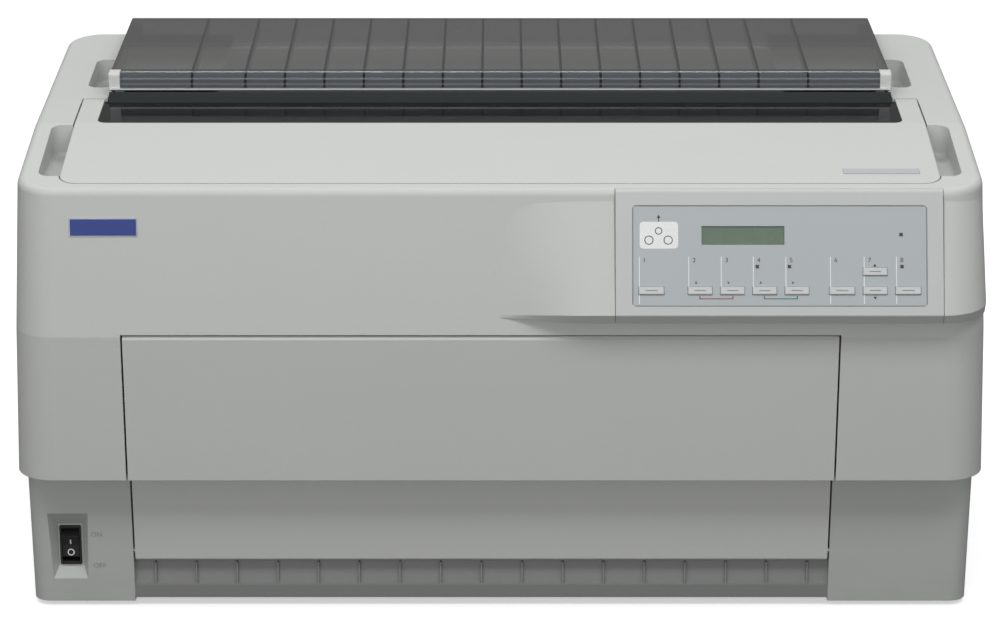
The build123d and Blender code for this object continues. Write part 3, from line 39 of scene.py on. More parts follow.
# a node socket that can stand in Python sums
class Wire:
    def __init__(self, tree, socket):
        self.tree = tree
        self.socket = socket

    def sum(self, operation, first, second):
        node = self.tree.nodes.new("ShaderNodeMath")
        node.operation = operation
        for slot, value in enumerate((first, second)):
            if isinstance(value, Wire):
                self.tree.links.new(value.socket, node.inputs[slot])
            else:
                node.inputs[slot].default_value = value
        return Wire(self.tree, node.outputs[0])

    def __add__(self, other):
        return self.sum("ADD", self, other)

    def __radd__(self, other):
        return self.sum("ADD", other, self)

    def __sub__(self, other):
        return self.sum("SUBTRACT", self, other)

    def __rsub__(self, other):
        return self.sum("SUBTRACT", other, self)

    def __mul__(self, other):
        return self.sum("MULTIPLY", self, other)

    def __rmul__(self, other):
        return self.sum("MULTIPLY", other, self)

    def __gt__(self, other):
        return self.sum("GREATER_THAN", self, other)

    def __lt__(self, other):
        return self.sum("LESS_THAN", self, other)

    def most(self, other):
        return self.sum("MAXIMUM", self, other)

    def size(self):
        return self.sum("ABSOLUTE", self, 0.0)

    def wrap(self, step):
        return self.sum("MODULO", self, step)

    # 1 within half a width of a place, and 0 elsewhere
    def near(self, place, width):
        return (self - place).size() < width * 0.5

    # 1 on the bands of a regular pattern; the shift keeps the wrapped sum positive
    def bands(self, pitch, width, shift=1.0):
        return (self + shift).wrap(pitch) < width


# a node tree of a material or of the world
class Tree:
    def __init__(self, tree):
        self.tree = tree

    # several outputs come back as a list
    def node(self, kind, settings=None, wires=None, output=0):
        made = self.tree.nodes.new(kind)
        for key, value in (settings or {}).items():
            if key == "stops":
                self.setStops(made.color_ramp, value)
            else:
                setattr(made, key, value)
        for key, value in (wires or {}).items():
            self.feed(made.inputs[key], value)
        if isinstance(output, tuple):
            return [Wire(self.tree, made.outputs[one]) for one in output]
        return Wire(self.tree, made.outputs[output])

    def setStops(self, ramp, stops):
        while len(ramp.elements) < len(stops):
            ramp.elements.new(1.0)
        for element, (position, colour) in zip(ramp.elements, stops):
            element.position = position
            element.color = colour

    def feed(self, socket, value):
        if isinstance(value, Wire):
            self.tree.links.new(value.socket, socket)
        elif isinstance(value, tuple) and len(value) == 3 and socket.type == "RGBA":
            socket.default_value = (*value, 1.0)
        else:
            socket.default_value = value

    # 1 where the camera sees this, straight or through tinted plastic, and 0 for its light
    def seen(self):
        outputs = ("Is Camera Ray", "Is Transmission Ray")
        straight, through = self.node("ShaderNodeLightPath", output=outputs)
        return straight.most(through)


# the node tree of one material, round a Principled shader
class Finish(Tree):
    def __init__(self, name):
        self.material = bpy.data.materials.new(name)
        self.material.use_nodes = True
        super().__init__(self.material.node_tree)
        self.tree.nodes.clear()
        output = self.tree.nodes.new("ShaderNodeOutputMaterial")
        self.shader = self.tree.nodes.new("ShaderNodeBsdfPrincipled")
        self.tree.links.new(self.shader.outputs[0], output.inputs[0])
        self.place = self.node("ShaderNodeTexCoord", output="Object")

    # baseColor feeds the socket Base Color, and so on
    def set(self, **values):
        for key, value in values.items():
            spaced = "".join(" " + c if c.isupper() else c for c in key)
            self.feed(self.shader.inputs[spaced.strip().title().replace("Ior", "IOR")], value)

    def stretched(self, scale):
        return self.node("ShaderNodeMapping", None, {"Vector": self.place, "Scale": scale})

    def noise(self, size, detail=2.0, where=None, rough=0.5):
        wires = {
            "Vector": where or self.place,
            "Scale": 1.0 / size,
            "Detail": detail,
            "Roughness": rough,
        }
        return self.node("ShaderNodeTexNoise", None, wires)

    def axes(self):
        return self.node("ShaderNodeSeparateXYZ", None, {0: self.place}, (0, 1, 2))

    def blend(self, factor, first, second):
        wires = {0: factor, 6: first, 7: second}
        return self.node("ShaderNodeMix", {"data_type": "RGBA"}, wires, 2)

    # a colour that wanders between two shades of itself
    def shades(self, factor, colour, low, high):
        return self.blend(factor, tint(colour, low), tint(colour, high))

    def ramp(self, factor, low, high):
        stops = [(low, (0, 0, 0, 1)), (high, (1, 1, 1, 1))]
        return self.node("ShaderNodeValToRGB", {"stops": stops}, {"Fac": factor})

    def bump(self, height, strength, distance, under=None):
        wires = {"Height": height, "Strength": strength, "Distance": distance}
        if under:
            wires["Normal"] = under
        return self.node("ShaderNodeBump", None, wires)

    def softEdge(self, radius):
        if not radius:
            return None
        return self.node("ShaderNodeBevel", {"samples": 4}, {"Radius": radius})


def tint(colour, factor):
    return tuple(min(1.0, channel * factor) for channel in colour)


# light grey housing plastic: faint clouds, fine spark-eroded grain, specks and rubbed spots
plasticLook = {
    "colour": (0.585, 0.598, 0.583),
    "patch": 0.018,
    "cloudSize": 0.16,
    "grainSize": 0.0007,
    "grain": 0.22,
    "grainDepth": 0.5,          # in grain sizes
    "speck": 0.05,
    "speckSize": 1.6,           # in grain sizes
    "speckStops": (0.56, 0.72),
    "speckShade": 0.55,
    "rubSize": 0.07,
    "rubStretch": (1.0, 2.2, 1.4),
    "rubStops": (0.5, 0.68),
    "polish": 0.07,
    "roughness": 0.5,
    "edge": 0.0007,
}


def cloudedColour(finish, look):
    cloud = finish.noise(look["cloudSize"], detail=3.0)
    return finish.shades(cloud, look["colour"], 1.0 - look["patch"], 1.0 + look["patch"])


def grainedNormal(finish, look):
    grain = finish.noise(look["grainSize"], detail=2.0)
    depth = look["grainSize"] * look["grainDepth"]
    return finish.bump(grain, look["grain"], depth, finish.softEdge(look["edge"]))


def mouldedPlastic(name, **changes):
    look = dict(plasticLook, **changes)
    finish = Finish(name)
    speck = finish.noise(look["grainSize"] * look["speckSize"], detail=1.0)
    speckMask = finish.ramp(speck, *look["speckStops"]) * look["speck"]
    specked = tint(look["colour"], look["speckShade"])
    finish.set(baseColor=finish.blend(speckMask, cloudedColour(finish, look), specked))
    rub = finish.noise(look["rubSize"], detail=4.0, where=finish.stretched(look["rubStretch"]))
    polished = finish.ramp(rub, *look["rubStops"])
    finish.set(roughness=look["roughness"] - polished * look["polish"])
    finish.set(normal=grainedNormal(finish, look))
    return finish.material


# the base also carries a little grey dirt where shoes and brooms reach it
baseLook = dict(
    plasticLook,
    colour=(0.5, 0.515, 0.5),
    dirt=0.2,
    dirtColour=(0.3, 0.29, 0.27),
    dirtRate=14.0,              # how fast it thins out with height, per metre
    lowStops=(0.2, 0.95),
    dirtSize=0.03,
    dirtRough=0.65,
    dirtStretch=(0.6, 0.6, 2.5),
    dirtStops=(0.5, 0.8),
    dirtDull=0.08,
)


def scuffedBase(name, look):
    finish = Finish(name)
    height = finish.axes()[2]
    low = finish.ramp(1.0 - height * look["dirtRate"], *look["lowStops"])
    where = finish.stretched(look["dirtStretch"])
    dirt = finish.noise(look["dirtSize"], detail=5.0, where=where, rough=look["dirtRough"])
    dirty = finish.ramp(dirt, *look["dirtStops"]) * low * look["dirt"]
    finish.set(baseColor=finish.blend(dirty, cloudedColour(finish, look), look["dirtColour"]))
    finish.set(roughness=look["roughness"] + low * look["dirtDull"])
    finish.set(normal=grainedNormal(finish, look))
    return finish.material


# tinted plastic of the two see-through pieces; places in metres of the frame
tintedLook = {
    "hazeSize": 0.05,
    "hazeStops": (0.45, 0.75),
    "hazeDull": 0.07,
    "hairSize": 0.0012,
    "hairStretch": (0.06, 1.0, 1.0),
    "hairRelief": 0.02,
    "hairDepth": 0.0002,
    "ior": 1.49,
    "coatRoughness": 0.05,
}
smokeLook = dict(
    tintedLook,
    colour=(0.05, 0.052, 0.05),
    hazeColour=(0.065, 0.067, 0.065),
    roughness=0.06,
    gloss=0.25,
    # painted light: the plate's front part is painted lighter, standing in for the lit chute seen
    # through it
    paintedLightFrontColour=(0.165, 0.165, 0.162),
    alpha=0.5,
    noseEnd=0.0334,
    noseAlpha=0.86,
    # painted light: the nose is painted lighter and bluer than the plate, for the sheen on its
    # curve
    paintedLightNoseColour=(0.088, 0.1, 0.11),
    shineStops=(0.36, 0.361),
    rearAlpha=0.88,
    denseStops=(0.104, 0.114),
    ribShift=0.3102,            # ten pitches past the first rib
    ribPitch=0.0296,
    ribLine=0.0018,
    ribReach=0.2,
    outerRib=0.231,
    sideFrom=0.2914,
    rearFrom=0.1868,
    # painted shade: colour and opacity of the dark lines over the ribs, the nose's joint and the
    # plate's edges
    shadeLineColour=(0.012, 0.013, 0.013),
    shadeLineAlpha=0.96,
)
windowLook = dict(
    tintedLook,
    colour=(0.011, 0.012, 0.012),
    hazeColour=(0.015, 0.016, 0.016),
    riseFrom=0.0102,
    # painted light: the lighter colour of the rising strip
    paintedLightRiseColour=(0.034, 0.039, 0.04),
    roughness=0.07,
    gloss=0.1,
    alpha=0.93,
)


def tintedPlastic(finish, look):
    haze = finish.noise(look["hazeSize"], detail=4.0)
    hair = finish.noise(look["hairSize"], detail=2.0, where=finish.stretched(look["hairStretch"]))
    dull = finish.ramp(haze, *look["hazeStops"]) * look["hazeDull"]
    finish.set(roughness=look["roughness"] + dull, coatRoughness=look["coatRoughness"])
    finish.set(ior=look["ior"], specularIorLevel=look["gloss"])
    finish.set(normal=finish.bump(hair, look["hairRelief"], look["hairDepth"]))
    return finish.blend(haze, look["colour"], look["hazeColour"])


def rearCoverShadeLines(across, deep, look):
    # painted shade: the edges of the ribs, of the nose and of the plate are painted as dark
    # lines, for the shade that the thick tinted plastic and the nose's joint show
    width = look["ribLine"]
    line = across.bands(look["ribPitch"], width, look["ribShift"])
    line = line * (across.size() < look["ribReach"])
    line = line.most(across.size().near(look["outerRib"], width))
    line = line.most(deep.near(look["noseEnd"], width))
    return line.most(across.size() > look["sideFrom"]).most(deep > look["rearFrom"])


def smokedCover(name, look):
    # the rolled nose is glossier, and the plate is denser towards the rear; the plate's front
    # part and the nose are painted lighter, as painted light
    finish = Finish(name)
    colour = tintedPlastic(finish, look)
    across, deep, up = finish.axes()
    nose = deep < look["noseEnd"]
    rear = finish.ramp(deep, *look["denseStops"])
    line = rearCoverShadeLines(across, deep, look)
    # painted light: the front part, away from the nose and the dense rear, takes the lighter
    # colour
    colour = finish.blend((1.0 - nose) * (1.0 - rear), colour, look["paintedLightFrontColour"])
    # painted light: the nose takes its lighter, bluer colour
    colour = finish.blend(nose, colour, look["paintedLightNoseColour"])
    # painted shade: the dark lines go over the plate's colour, nearly opaque
    finish.set(baseColor=finish.blend(line, colour, look["shadeLineColour"]))
    alpha = rear * (look["rearAlpha"] - look["alpha"]) + look["alpha"]
    alpha = alpha + nose * (look["noseAlpha"] - look["alpha"])
    finish.set(alpha=alpha.most(line * look["shadeLineAlpha"]))
    finish.set(coatWeight=nose * finish.ramp(up, *look["shineStops"]))
    return finish.material


def smokedWindow(name, look):
    # painted light: the strip that rises behind the crease is painted a little lighter, for the
    # light it catches
    finish = Finish(name)
    colour = tintedPlastic(finish, look)
    rise = finish.axes()[1] > look["riseFrom"]
    finish.set(baseColor=finish.blend(rise, colour, look["paintedLightRiseColour"]), alpha=look["alpha"])
    return finish.material


# metals differ in colour, in how they are brushed and in how rough they are
metalLook = {
    "brush": (0.04, 1.0, 1.0),
    "grainSize": 0.0015,
    "cloudSize": 0.03,
    "shades": (0.9, 1.06),
    "spread": 0.14,
    "relief": 0.1,
    "reliefDepth": 0.0001,
    "edge": 0.0,
}


def metal(name, **changes):
    look = dict(metalLook, **changes)
    finish = Finish(name)
    grain = finish.noise(look["grainSize"], detail=3.0, where=finish.stretched(look["brush"]))
    cloud = finish.noise(look["cloudSize"], detail=4.0)
    finish.set(baseColor=finish.shades(cloud, look["colour"], *look["shades"]), metallic=1.0)
    finish.set(roughness=look["roughness"] + grain * look["spread"] - look["spread"] * 0.5)
    edge = finish.softEdge(look["edge"])
    finish.set(normal=finish.bump(grain, look["relief"], look["reliefDepth"], edge))
    return finish.material


rubberLook = {
    "colour": (0.03, 0.03, 0.03),
    "grainSize": 0.0009,
    "relief": 0.25,
    "reliefDepth": 0.0003,
    "dust": 0.25,
    "dustSize": 0.02,
    "dustStops": (0.5, 0.8),
    "dustColour": (0.25, 0.24, 0.22),
    "dustDull": 0.1,
    "roughness": 0.75,
}


def rubber(name, look):
    finish = Finish(name)
    grain = finish.noise(look["grainSize"], detail=3.0)
    dust = finish.noise(look["dustSize"], detail=5.0)
    dusty = finish.ramp(dust, *look["dustStops"]) * look["dust"]
    finish.set(baseColor=finish.blend(dusty, look["colour"], look["dustColour"]))
    finish.set(roughness=look["roughness"] - dusty * look["dustDull"])
    finish.set(normal=finish.bump(grain, look["relief"], look["reliefDepth"]))
    return finish.material


# black rubber roller, ground steel journals, moulded gear on the right-hand end
platenLook = {
    "rollerHalf": 0.2225,
    "gearFrom": 0.2515,
    "rubber": (0.02, 0.02, 0.021),
    "rubberShades": (1.0, 1.7),
    "cloudSize": 0.04,
    "steel": (0.62, 0.62, 0.62),
    "nylon": (0.7, 0.69, 0.64),
    "roughness": 0.62,
    "steelShine": 0.3,
    "gearDull": 0.15,
    "grainSize": 0.0008,
    "ringSize": 0.0015,
    "ringStretch": (1.0, 0.02, 0.02),
    "ringShare": 0.5,
    "relief": 0.2,
    "reliefDepth": 0.0003,
}


def platenFinish(name, look):
    finish = Finish(name)
    across = finish.axes()[0]
    shaft = across.size() > look["rollerHalf"]
    gear = across > look["gearFrom"]
    cloud = finish.noise(look["cloudSize"], detail=3.0)
    roller = finish.shades(cloud, look["rubber"], *look["rubberShades"])
    ends = finish.blend(gear, look["steel"], look["nylon"])
    finish.set(baseColor=finish.blend(shaft, roller, ends), metallic=shaft * (1.0 - gear))
    finish.set(roughness=look["roughness"] - shaft * look["steelShine"] + gear * look["gearDull"])
    grain = finish.noise(look["grainSize"], detail=3.0)
    ring = finish.noise(look["ringSize"], detail=2.0, where=finish.stretched(look["ringStretch"]))
    height = grain + ring * look["ringShare"]
    finish.set(normal=finish.bump(height, look["relief"], look["reliefDepth"]))
    return finish.material


# green display with the faint columns of its cells
displayLook = {
    "colour": (0.135, 0.195, 0.14),
    "cloudSize": 0.02,
    "shades": (0.98, 1.02),
    "cell": 0.0029,
    "cellGap": 0.000348,
    "cellDepth": 0.12,
    "cellShade": 0.7,
    "roughness": 0.22,
    "dull": 0.1,
    "coat": 0.5,
    "coatRoughness": 0.08,
}


def displayGlass(name, look):
    finish = Finish(name)
    cell = finish.axes()[0].bands(look["cell"], look["cellGap"])
    cloud = finish.noise(look["cloudSize"], detail=2.0)
    colour = finish.shades(cloud, look["colour"], *look["shades"])
    dark = tint(look["colour"], look["cellShade"])
    finish.set(baseColor=finish.blend(cell * look["cellDepth"], colour, dark))
    finish.set(roughness=look["roughness"] + cloud * look["dull"])
    finish.set(coatWeight=look["coat"], coatRoughness=look["coatRoughness"])
    return finish.material


# green laminate with copper runs, black chips above it, brass pillars under it
boardLook = {
    "laminate": (0.01, 0.09, 0.035),
    "copper": (0.05, 0.2, 0.06),
    "runSize": 1.0 / 210.0,
    "runWidth": 0.06,
    "top": 0.0197,
    "chip": (0.02, 0.02, 0.022),
    "chipDull": 0.15,
    "leg": (0.3, 0.3, 0.3),
    "legPitch": 0.0025,
    "legWidth": 0.0011,
    "legShare": 0.5,
    "under": 0.0179,
    "brass": (0.6, 0.42, 0.16),
    "brassMetal": 0.9,
    "roughness": 0.42,
    "relief": 0.3,
    "reliefDepth": 0.0002,
}


def circuitBoard(name, look):
    finish = Finish(name)
    deep, up = finish.axes()[1:]
    wires = {"Vector": finish.place, "Scale": 1.0 / look["runSize"]}
    cells = finish.node("ShaderNodeTexVoronoi", {"feature": "DISTANCE_TO_EDGE"}, wires)
    board = finish.blend(cells < look["runWidth"], look["laminate"], look["copper"])
    chips = up > look["top"]
    pillars = up < look["under"]
    legs = deep.bands(look["legPitch"], look["legWidth"]) * look["legShare"]
    colour = finish.blend(chips, board, finish.blend(legs, look["chip"], look["leg"]))
    finish.set(baseColor=finish.blend(pillars, colour, look["brass"]))
    finish.set(metallic=pillars * look["brassMetal"])
    finish.set(roughness=look["roughness"] + chips * look["chipDull"])
    finish.set(normal=finish.bump(cells, look["relief"], look["reliefDepth"]))
    return finish.material


# stacked steel sheets, which show as fine stripes
motorLook = {
    "colour": (0.36, 0.36, 0.37),
    "sheet": 0.0016,
    "sheetGap": 0.00064,
    "gapShade": 0.7,
    "shift": 2.0,
    "grainSize": 0.002,
    "grainShare": 0.3,
    "metal": 0.85,
    "roughness": 0.36,
    "dull": 0.16,
    "relief": 0.2,
    "reliefDepth": 0.0002,
}


def motorFinish(name, look):
    finish = Finish(name)
    across, deep, up = finish.axes()
    sheet = (across + up).bands(look["sheet"], look["sheetGap"], look["shift"])
    grain = finish.noise(look["grainSize"], detail=3.0)
    colour = finish.blend(sheet, look["colour"], tint(look["colour"], look["gapShade"]))
    finish.set(baseColor=colour, metallic=look["metal"])
    finish.set(roughness=look["roughness"] + grain * look["dull"])
    height = sheet + grain * look["grainShare"]
    finish.set(normal=finish.bump(height, look["relief"], look["reliefDepth"]))
    return finish.material


beltLook = {
    "colour": (0.02, 0.02, 0.02),
    "pitch": 0.004,
    "tooth": 0.002,
    "fraySize": 0.002,
    "frayShades": (1.0, 2.0),
    "roughness": 0.7,
    "dull": 0.15,
    "relief": 0.8,
    "reliefDepth": 0.0008,
}


def beltFinish(name, look):
    finish = Finish(name)
    tooth = finish.axes()[0].bands(look["pitch"], look["tooth"])
    fray = finish.noise(look["fraySize"], detail=4.0)
    finish.set(baseColor=finish.shades(fray, look["colour"], *look["frayShades"]))
    finish.set(roughness=look["roughness"] + fray * look["dull"])
    finish.set(normal=finish.bump(tooth, look["relief"], look["reliefDepth"]))
    return finish.material


# flat colours with a faint unevenness: print, enamel and foil, and the painted shade of key
# slots, key gaps, the film's edge and the switch words
flatColourLook = {"thinSize": 0.0015, "shades": (0.9, 1.08), "roughness": 0.5, "dull": 0.1}


def flatColourFinish(name, colour):
    finish = Finish(name)
    thin = finish.noise(flatColourLook["thinSize"], detail=3.0)
    finish.set(baseColor=finish.shades(thin, colour, *flatColourLook["shades"]))
    finish.set(roughness=flatColourLook["roughness"] + thin * flatColourLook["dull"])
    return finish.material


casePlastic = mouldedPlastic("case_plastic_fine_texture")
coverPlastic = mouldedPlastic("cover_plastic_fine_texture", cloudSize=0.2)
panelPlastic = mouldedPlastic(
    "panel_plastic_satin", colour=(0.56, 0.573, 0.57), roughness=0.46, grain=0.12, edge=0.0004
)
keyPlastic = mouldedPlastic(
    "key_plastic", colour=(0.63, 0.65, 0.645), grain=0.08, polish=0.16, rubSize=0.006, edge=0.0003
)
capPlastic = mouldedPlastic("cap_plastic", colour=(0.66, 0.67, 0.65), grain=0.1, edge=0.0004)
overlayFilm = mouldedPlastic(
    "overlay_film", colour=(0.46, 0.495, 0.505), grain=0.1, grainSize=0.0004, speck=0.02, edge=0.0
)
basePlastic = scuffedBase("base_plastic_fine_texture", baseLook)
# painted shade: the guide strip's plastic is made much darker, for the shade it lies in under the
# front cover
shadedStripPlastic = mouldedPlastic("strip_plastic_painted_shade", colour=(0.235, 0.242, 0.235), edge=0.0004)
blackPlastic = mouldedPlastic(
    "black_plastic", colour=(0.018, 0.019, 0.018), patch=0.2, roughness=0.42, grain=0.1,
    speck=0.0, edge=0.0003,
)
guidePlastic = mouldedPlastic(
    "guide_plastic", colour=(0.12, 0.115, 0.11), patch=0.06, roughness=0.45
)
tractorPlastic = mouldedPlastic(
    "tractor_plastic", colour=(0.05, 0.052, 0.056), patch=0.08, roughness=0.4, edge=0.0003
)
nylon = mouldedPlastic(
    "nylon_gear", colour=(0.72, 0.71, 0.66), roughness=0.38, grain=0.06, edge=0.0002
)
lampPlastic = mouldedPlastic(
    "lamp_plastic", colour=(0.1, 0.075, 0.06), roughness=0.2, grain=0.03, edge=0.0
)
shadowBlack = mouldedPlastic(
    "rib_shadow", colour=(0.012, 0.013, 0.012), patch=0.1, speck=0.0, edge=0.0
)
smokePlastic = smokedCover("smoke_plastic", smokeLook)
windowPlastic = smokedWindow("window_plastic", windowLook)
brightSteel = metal("bright_steel", colour=(0.78, 0.79, 0.8), roughness=0.2)
barSteel = metal("tear_bar_steel", colour=(0.93, 0.94, 0.95), roughness=0.5)
platedSteel = metal(
    "plated_steel", colour=(0.5, 0.51, 0.5), grainSize=0.006, brush=(1.0, 1.0, 0.4),
    roughness=0.38, spread=0.2, edge=0.0003,
)
headAluminium = metal(
    "head_aluminium", colour=(0.45, 0.46, 0.47), grainSize=0.002, brush=(1.0, 1.0, 1.0),
    roughness=0.42, spread=0.2, relief=0.15, edge=0.0003,
)
badgeMetal = metal(
    "badge_metal", colour=(0.7, 0.73, 0.78), grainSize=0.002, brush=(0.1, 1.0, 1.0),
    roughness=0.3, spread=0.1, relief=0.05,
)
footRubber = rubber("foot_rubber", rubberLook)
platenRubber = platenFinish("platen_rubber", platenLook)
displayGreen = displayGlass("display_glass", displayLook)
boardGreen = circuitBoard("board_laminate", boardLook)
motorSteel = motorFinish("motor_steel", motorLook)
beltRubber = beltFinish("timing_belt_rubber", beltLook)
whiteInk = flatColourFinish("white_ink", (0.86, 0.87, 0.86))
# dark print, also used as painted shade in the gaps round the keys
darkInkAndGapShade = flatColourFinish("dark_ink_and_gap_shade", (0.035, 0.035, 0.04))
redInk = flatColourFinish("red_ink", (0.3, 0.01, 0.02))
tealInk = flatColourFinish("teal_ink", (0.01, 0.15, 0.16))
# painted shade along the overlay's edge
edgeShadeGrey = flatColourFinish("overlay_edge_shade", (0.14, 0.155, 0.16))
slotShade = flatColourFinish("slot_painted_shade", (0.3, 0.315, 0.315))
# painted shade: the switch words are darker than the base they are moulded in
wordShadeGrey = flatColourFinish("switch_word_shade_grey", (0.36, 0.37, 0.36))
badgeBlue = flatColourFinish("badge_blue_enamel", (0.035, 0.065, 0.28))
labelFoil = flatColourFinish("label_foil", (0.46, 0.485, 0.515))
labelRim = flatColourFinish("label_rim", (0.36, 0.38, 0.4))

looks = {
    casePlastic: ["upper_case"],
    coverPlastic: ["printer_cover", "front_cover"],
    panelPlastic: ["panel_housing"],
    capPlastic: ["rear_cover_end_caps"],
    basePlastic: ["lower_case"],
    shadedStripPlastic: ["front_guide_strip"],
    overlayFilm: ["panel_overlay"],
    displayGreen: ["display_window"],
    lampPlastic: ["indicator_lenses"],
    badgeMetal: ["badge_plate"],
    smokePlastic: ["rear_cover"],
    windowPlastic: ["cover_window"],
    barSteel: ["tear_bar"],
    brightSteel: ["guide_rods", "front_tractor_shaft", "rear_tractor_shaft", "case_screws"],
    platedSteel: ["side_frames", "chassis_plate", "power_supply", "interface_connectors",
                  "hinge_pins"],
    blackPlastic: ["switch_bezel", "power_rocker", "ribbon_cartridge", "carriage", "power_inlet"],
    footRubber: ["rubber_feet"],
    beltRubber: ["timing_belt"],
    platenRubber: ["platen"],
    guidePlastic: ["paper_guides", "ribbon_knob"],
    nylon: ["feed_pinion", "drive_pulley", "idler_pulley"],
    headAluminium: ["print_head"],
    motorSteel: ["drive_motors"],
    boardGreen: ["logic_board"],
    tractorPlastic: [],
    keyPlastic: [name for name in nodes if name.endswith("_button")],
}
for end in ("front", "rear"):
    for side in ("left", "right"):
        looks[tractorPlastic] += [f"{end}_tractor_{side}", f"{end}_tractor_door_{side}"]
        looks[nylon].append(f"{end}_sprocket_{side}")
for look, names in looks.items():
    for name in names:
        for slot in nodes[name].material_slots:
            slot.material = look
print("materials on the frame:", sum(len(names) for names in looks.values()), "nodes")


def finishPiece(name, bm, look, body):
    bmesh.ops.recalc_face_normals(bm, faces=bm.faces)
    mesh = bpy.data.meshes.new(name)
    bm.to_mesh(mesh)
    bm.free()
    mesh.materials.append(look)
    piece = bpy.data.objects.new(name, mesh)
    bpy.context.scene.collection.objects.link(piece)
    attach(piece, body)
    return piece


# marks are drawn flat in millimetres: x across, y up the surface, z proud of it
def addSlab(bm, x0, x1, y0, y1, z0, z1, corner=0.0):
    corners = bmesh.ops.create_cube(bm, size=1.0)["verts"]
    bmesh.ops.scale(bm, vec=(x1 - x0, y1 - y0, z1 - z0), verts=corners)
    middle = ((x0 + x1) / 2, (y0 + y1) / 2, (z0 + z1) / 2)
    bmesh.ops.translate(bm, vec=middle, verts=corners)
    if corner:
        edges = {e for v in corners for e in v.link_edges}
        upright = [e for e in edges if abs(e.verts[0].co.z - e.verts[1].co.z) > tiny]
        bmesh.ops.bevel(bm, geom=upright, offset=corner, offset_type="OFFSET", segments=4,
                        profile=0.5, affect="EDGES", material=-1)


def addRing(bm, x, y, radius, width, z0, z1, sides=32):
    outer = bmesh.ops.create_circle(bm, radius=radius, segments=sides)["verts"]
    inner = bmesh.ops.create_circle(bm, radius=radius - width, segments=sides)["verts"]
    edges = {e for v in outer + inner for e in v.link_edges}
    faces = bmesh.ops.bridge_loops(bm, edges=list(edges))["faces"]
    bmesh.ops.translate(bm, vec=(x, y, z0), verts=outer + inner)
    raiseFaces(bm, faces, (0, 0, z1 - z0))


def raiseFaces(bm, faces, by):
    raised = bmesh.ops.extrude_face_region(bm, geom=faces)["geom"]
    moved = [v for v in raised if isinstance(v, bmesh.types.BMVert)]
    bmesh.ops.translate(bm, vec=by, verts=moved)


# a small solid triangle that points up the surface for 1 and down it for -1
def addArrow(bm, x, y, radius, z0, z1, point=1):
    made = bmesh.ops.create_cone(bm, cap_ends=True, segments=3, radius1=radius, radius2=radius,
                                 depth=z1 - z0)["verts"]
    turn = Matrix.Rotation(math.radians(90 - 90 * point), 3, "Z")
    bmesh.ops.rotate(bm, cent=(0, 0, 0), matrix=turn, verts=made)
    bmesh.ops.translate(bm, vec=(x, y, (z0 + z1) / 2), verts=made)


# the middle of the words stands at x, y
def addWords(bm, text, x, y, height, z0, z1):
    curve = bpy.data.curves.new("words", "FONT")
    curve.body = text
    curve.size = height
    curve.align_x = "CENTER"
    curve.align_y = "CENTER"
    curve.extrude = (z1 - z0) / 2
    curve.resolution_u = 3
    words = bpy.data.objects.new("words", curve)
    bpy.context.scene.collection.objects.link(words)
    bpy.context.view_layer.update()
    ready = words.evaluated_get(bpy.context.evaluated_depsgraph_get())
    mesh = bpy.data.meshes.new_from_object(ready)
    mesh.transform(Matrix.Translation((x, y, (z0 + z1) / 2)))
    bm.from_mesh(mesh)
    bpy.data.meshes.remove(mesh)
    bpy.data.objects.remove(words)
    bpy.data.curves.remove(curve)


# from millimetres on a surface to metres in the frame; slope is its rise in y and z
def layOn(bm, origin, slope):
    across = Vector((1.0, 0.0, 0.0))
    up = Vector((0.0, *slope)).normalized()
    turn = Matrix((across, up, across.cross(up))).transposed().to_4x4()
    place = Matrix.Translation(Vector(origin) * mm) @ turn @ Matrix.Scale(mm, 4)
    bmesh.ops.transform(bm, matrix=place, verts=bm.verts)


# places in y and z, in millimetres: points of the roof's profile, and the foot and the rise of
# the flat faces that carry marks
roof = {"front": (-156.5, 327.3), "crest": (-38.0, 342.2), "rear": (191.0, 350.4)}
surfaces = {
    "panel": {"foot": roof["front"], "rise": (34.5, 81.3)},
    "upperFront": {"foot": (-172.0, 223.0), "rise": (15.5, 104.3)},
    "baseFront": {"foot": (-138.0, 4.0), "rise": (-9.0, 108.0)},
}


def roofRise(low, high):
    return (roof[high][0] - roof[low][0], roof[high][1] - roof[low][1])


# distance up the slope from its lower point, for a place in y
def upRoof(y, low, high):
    deep, tall = roofRise(low, high)
    return (y - roof[low][0]) * math.hypot(1.0, tall / deep)


def layOnRoof(bm, low, high):
    layOn(bm, (0.0, *roof[low]), roofRise(low, high))


def layOnFace(bm, face):
    layOn(bm, (0.0, *surfaces[face]["foot"]), surfaces[face]["rise"])


# print on the sloped key panel, and painted shade along the edge of its film, measured down from
# the front edge of the roof
panelPrintAndShade = {
    "filmTop": -0.3,
    "inkTop": -0.23,
    "longDividers": [97.7, 231.8, 255.4, 278.1],
    "shortDividers": [132.4, 155.2, 177.7, 200.5],
    "longDown": 79.9,
    "shortDown": 67.9,
    "dividerTop": 46.7,
    "dividerWidth": 0.55,
    "redBracket": (140.1, 163.3),
    "tealBracket": (185.3, 208.4),
    "bracketDown": (74.3, 76.6),
    "bracketLine": 0.6,
    "bracketLeg": 0.7,
    "tealArrows": [(137.5, 65.0, 1), (160.2, 65.0, -1), (182.8, 65.0, 1), (205.4, 65.0, -1)],
    "tealArrowRadius": 1.2,
    "numbers": [("1", 101.2), ("2", 136.2), ("3", 159.0), ("4", 181.5),
                ("5", 204.3), ("6", 235.6), ("7", 259.2), ("8", 281.9)],
    "numberDown": 49.2,
    "numberHeight": 4.6,
    "microArrows": [(262.9, 53.0, 1), (263.1, 75.5, -1)],
    "microArrowRadius": 1.4,
    "border": (93.1, 299.5, -81.5, -10.8),
    "borderWidth": 0.4,
}
ink = (panelPrintAndShade["filmTop"], panelPrintAndShade["inkTop"])


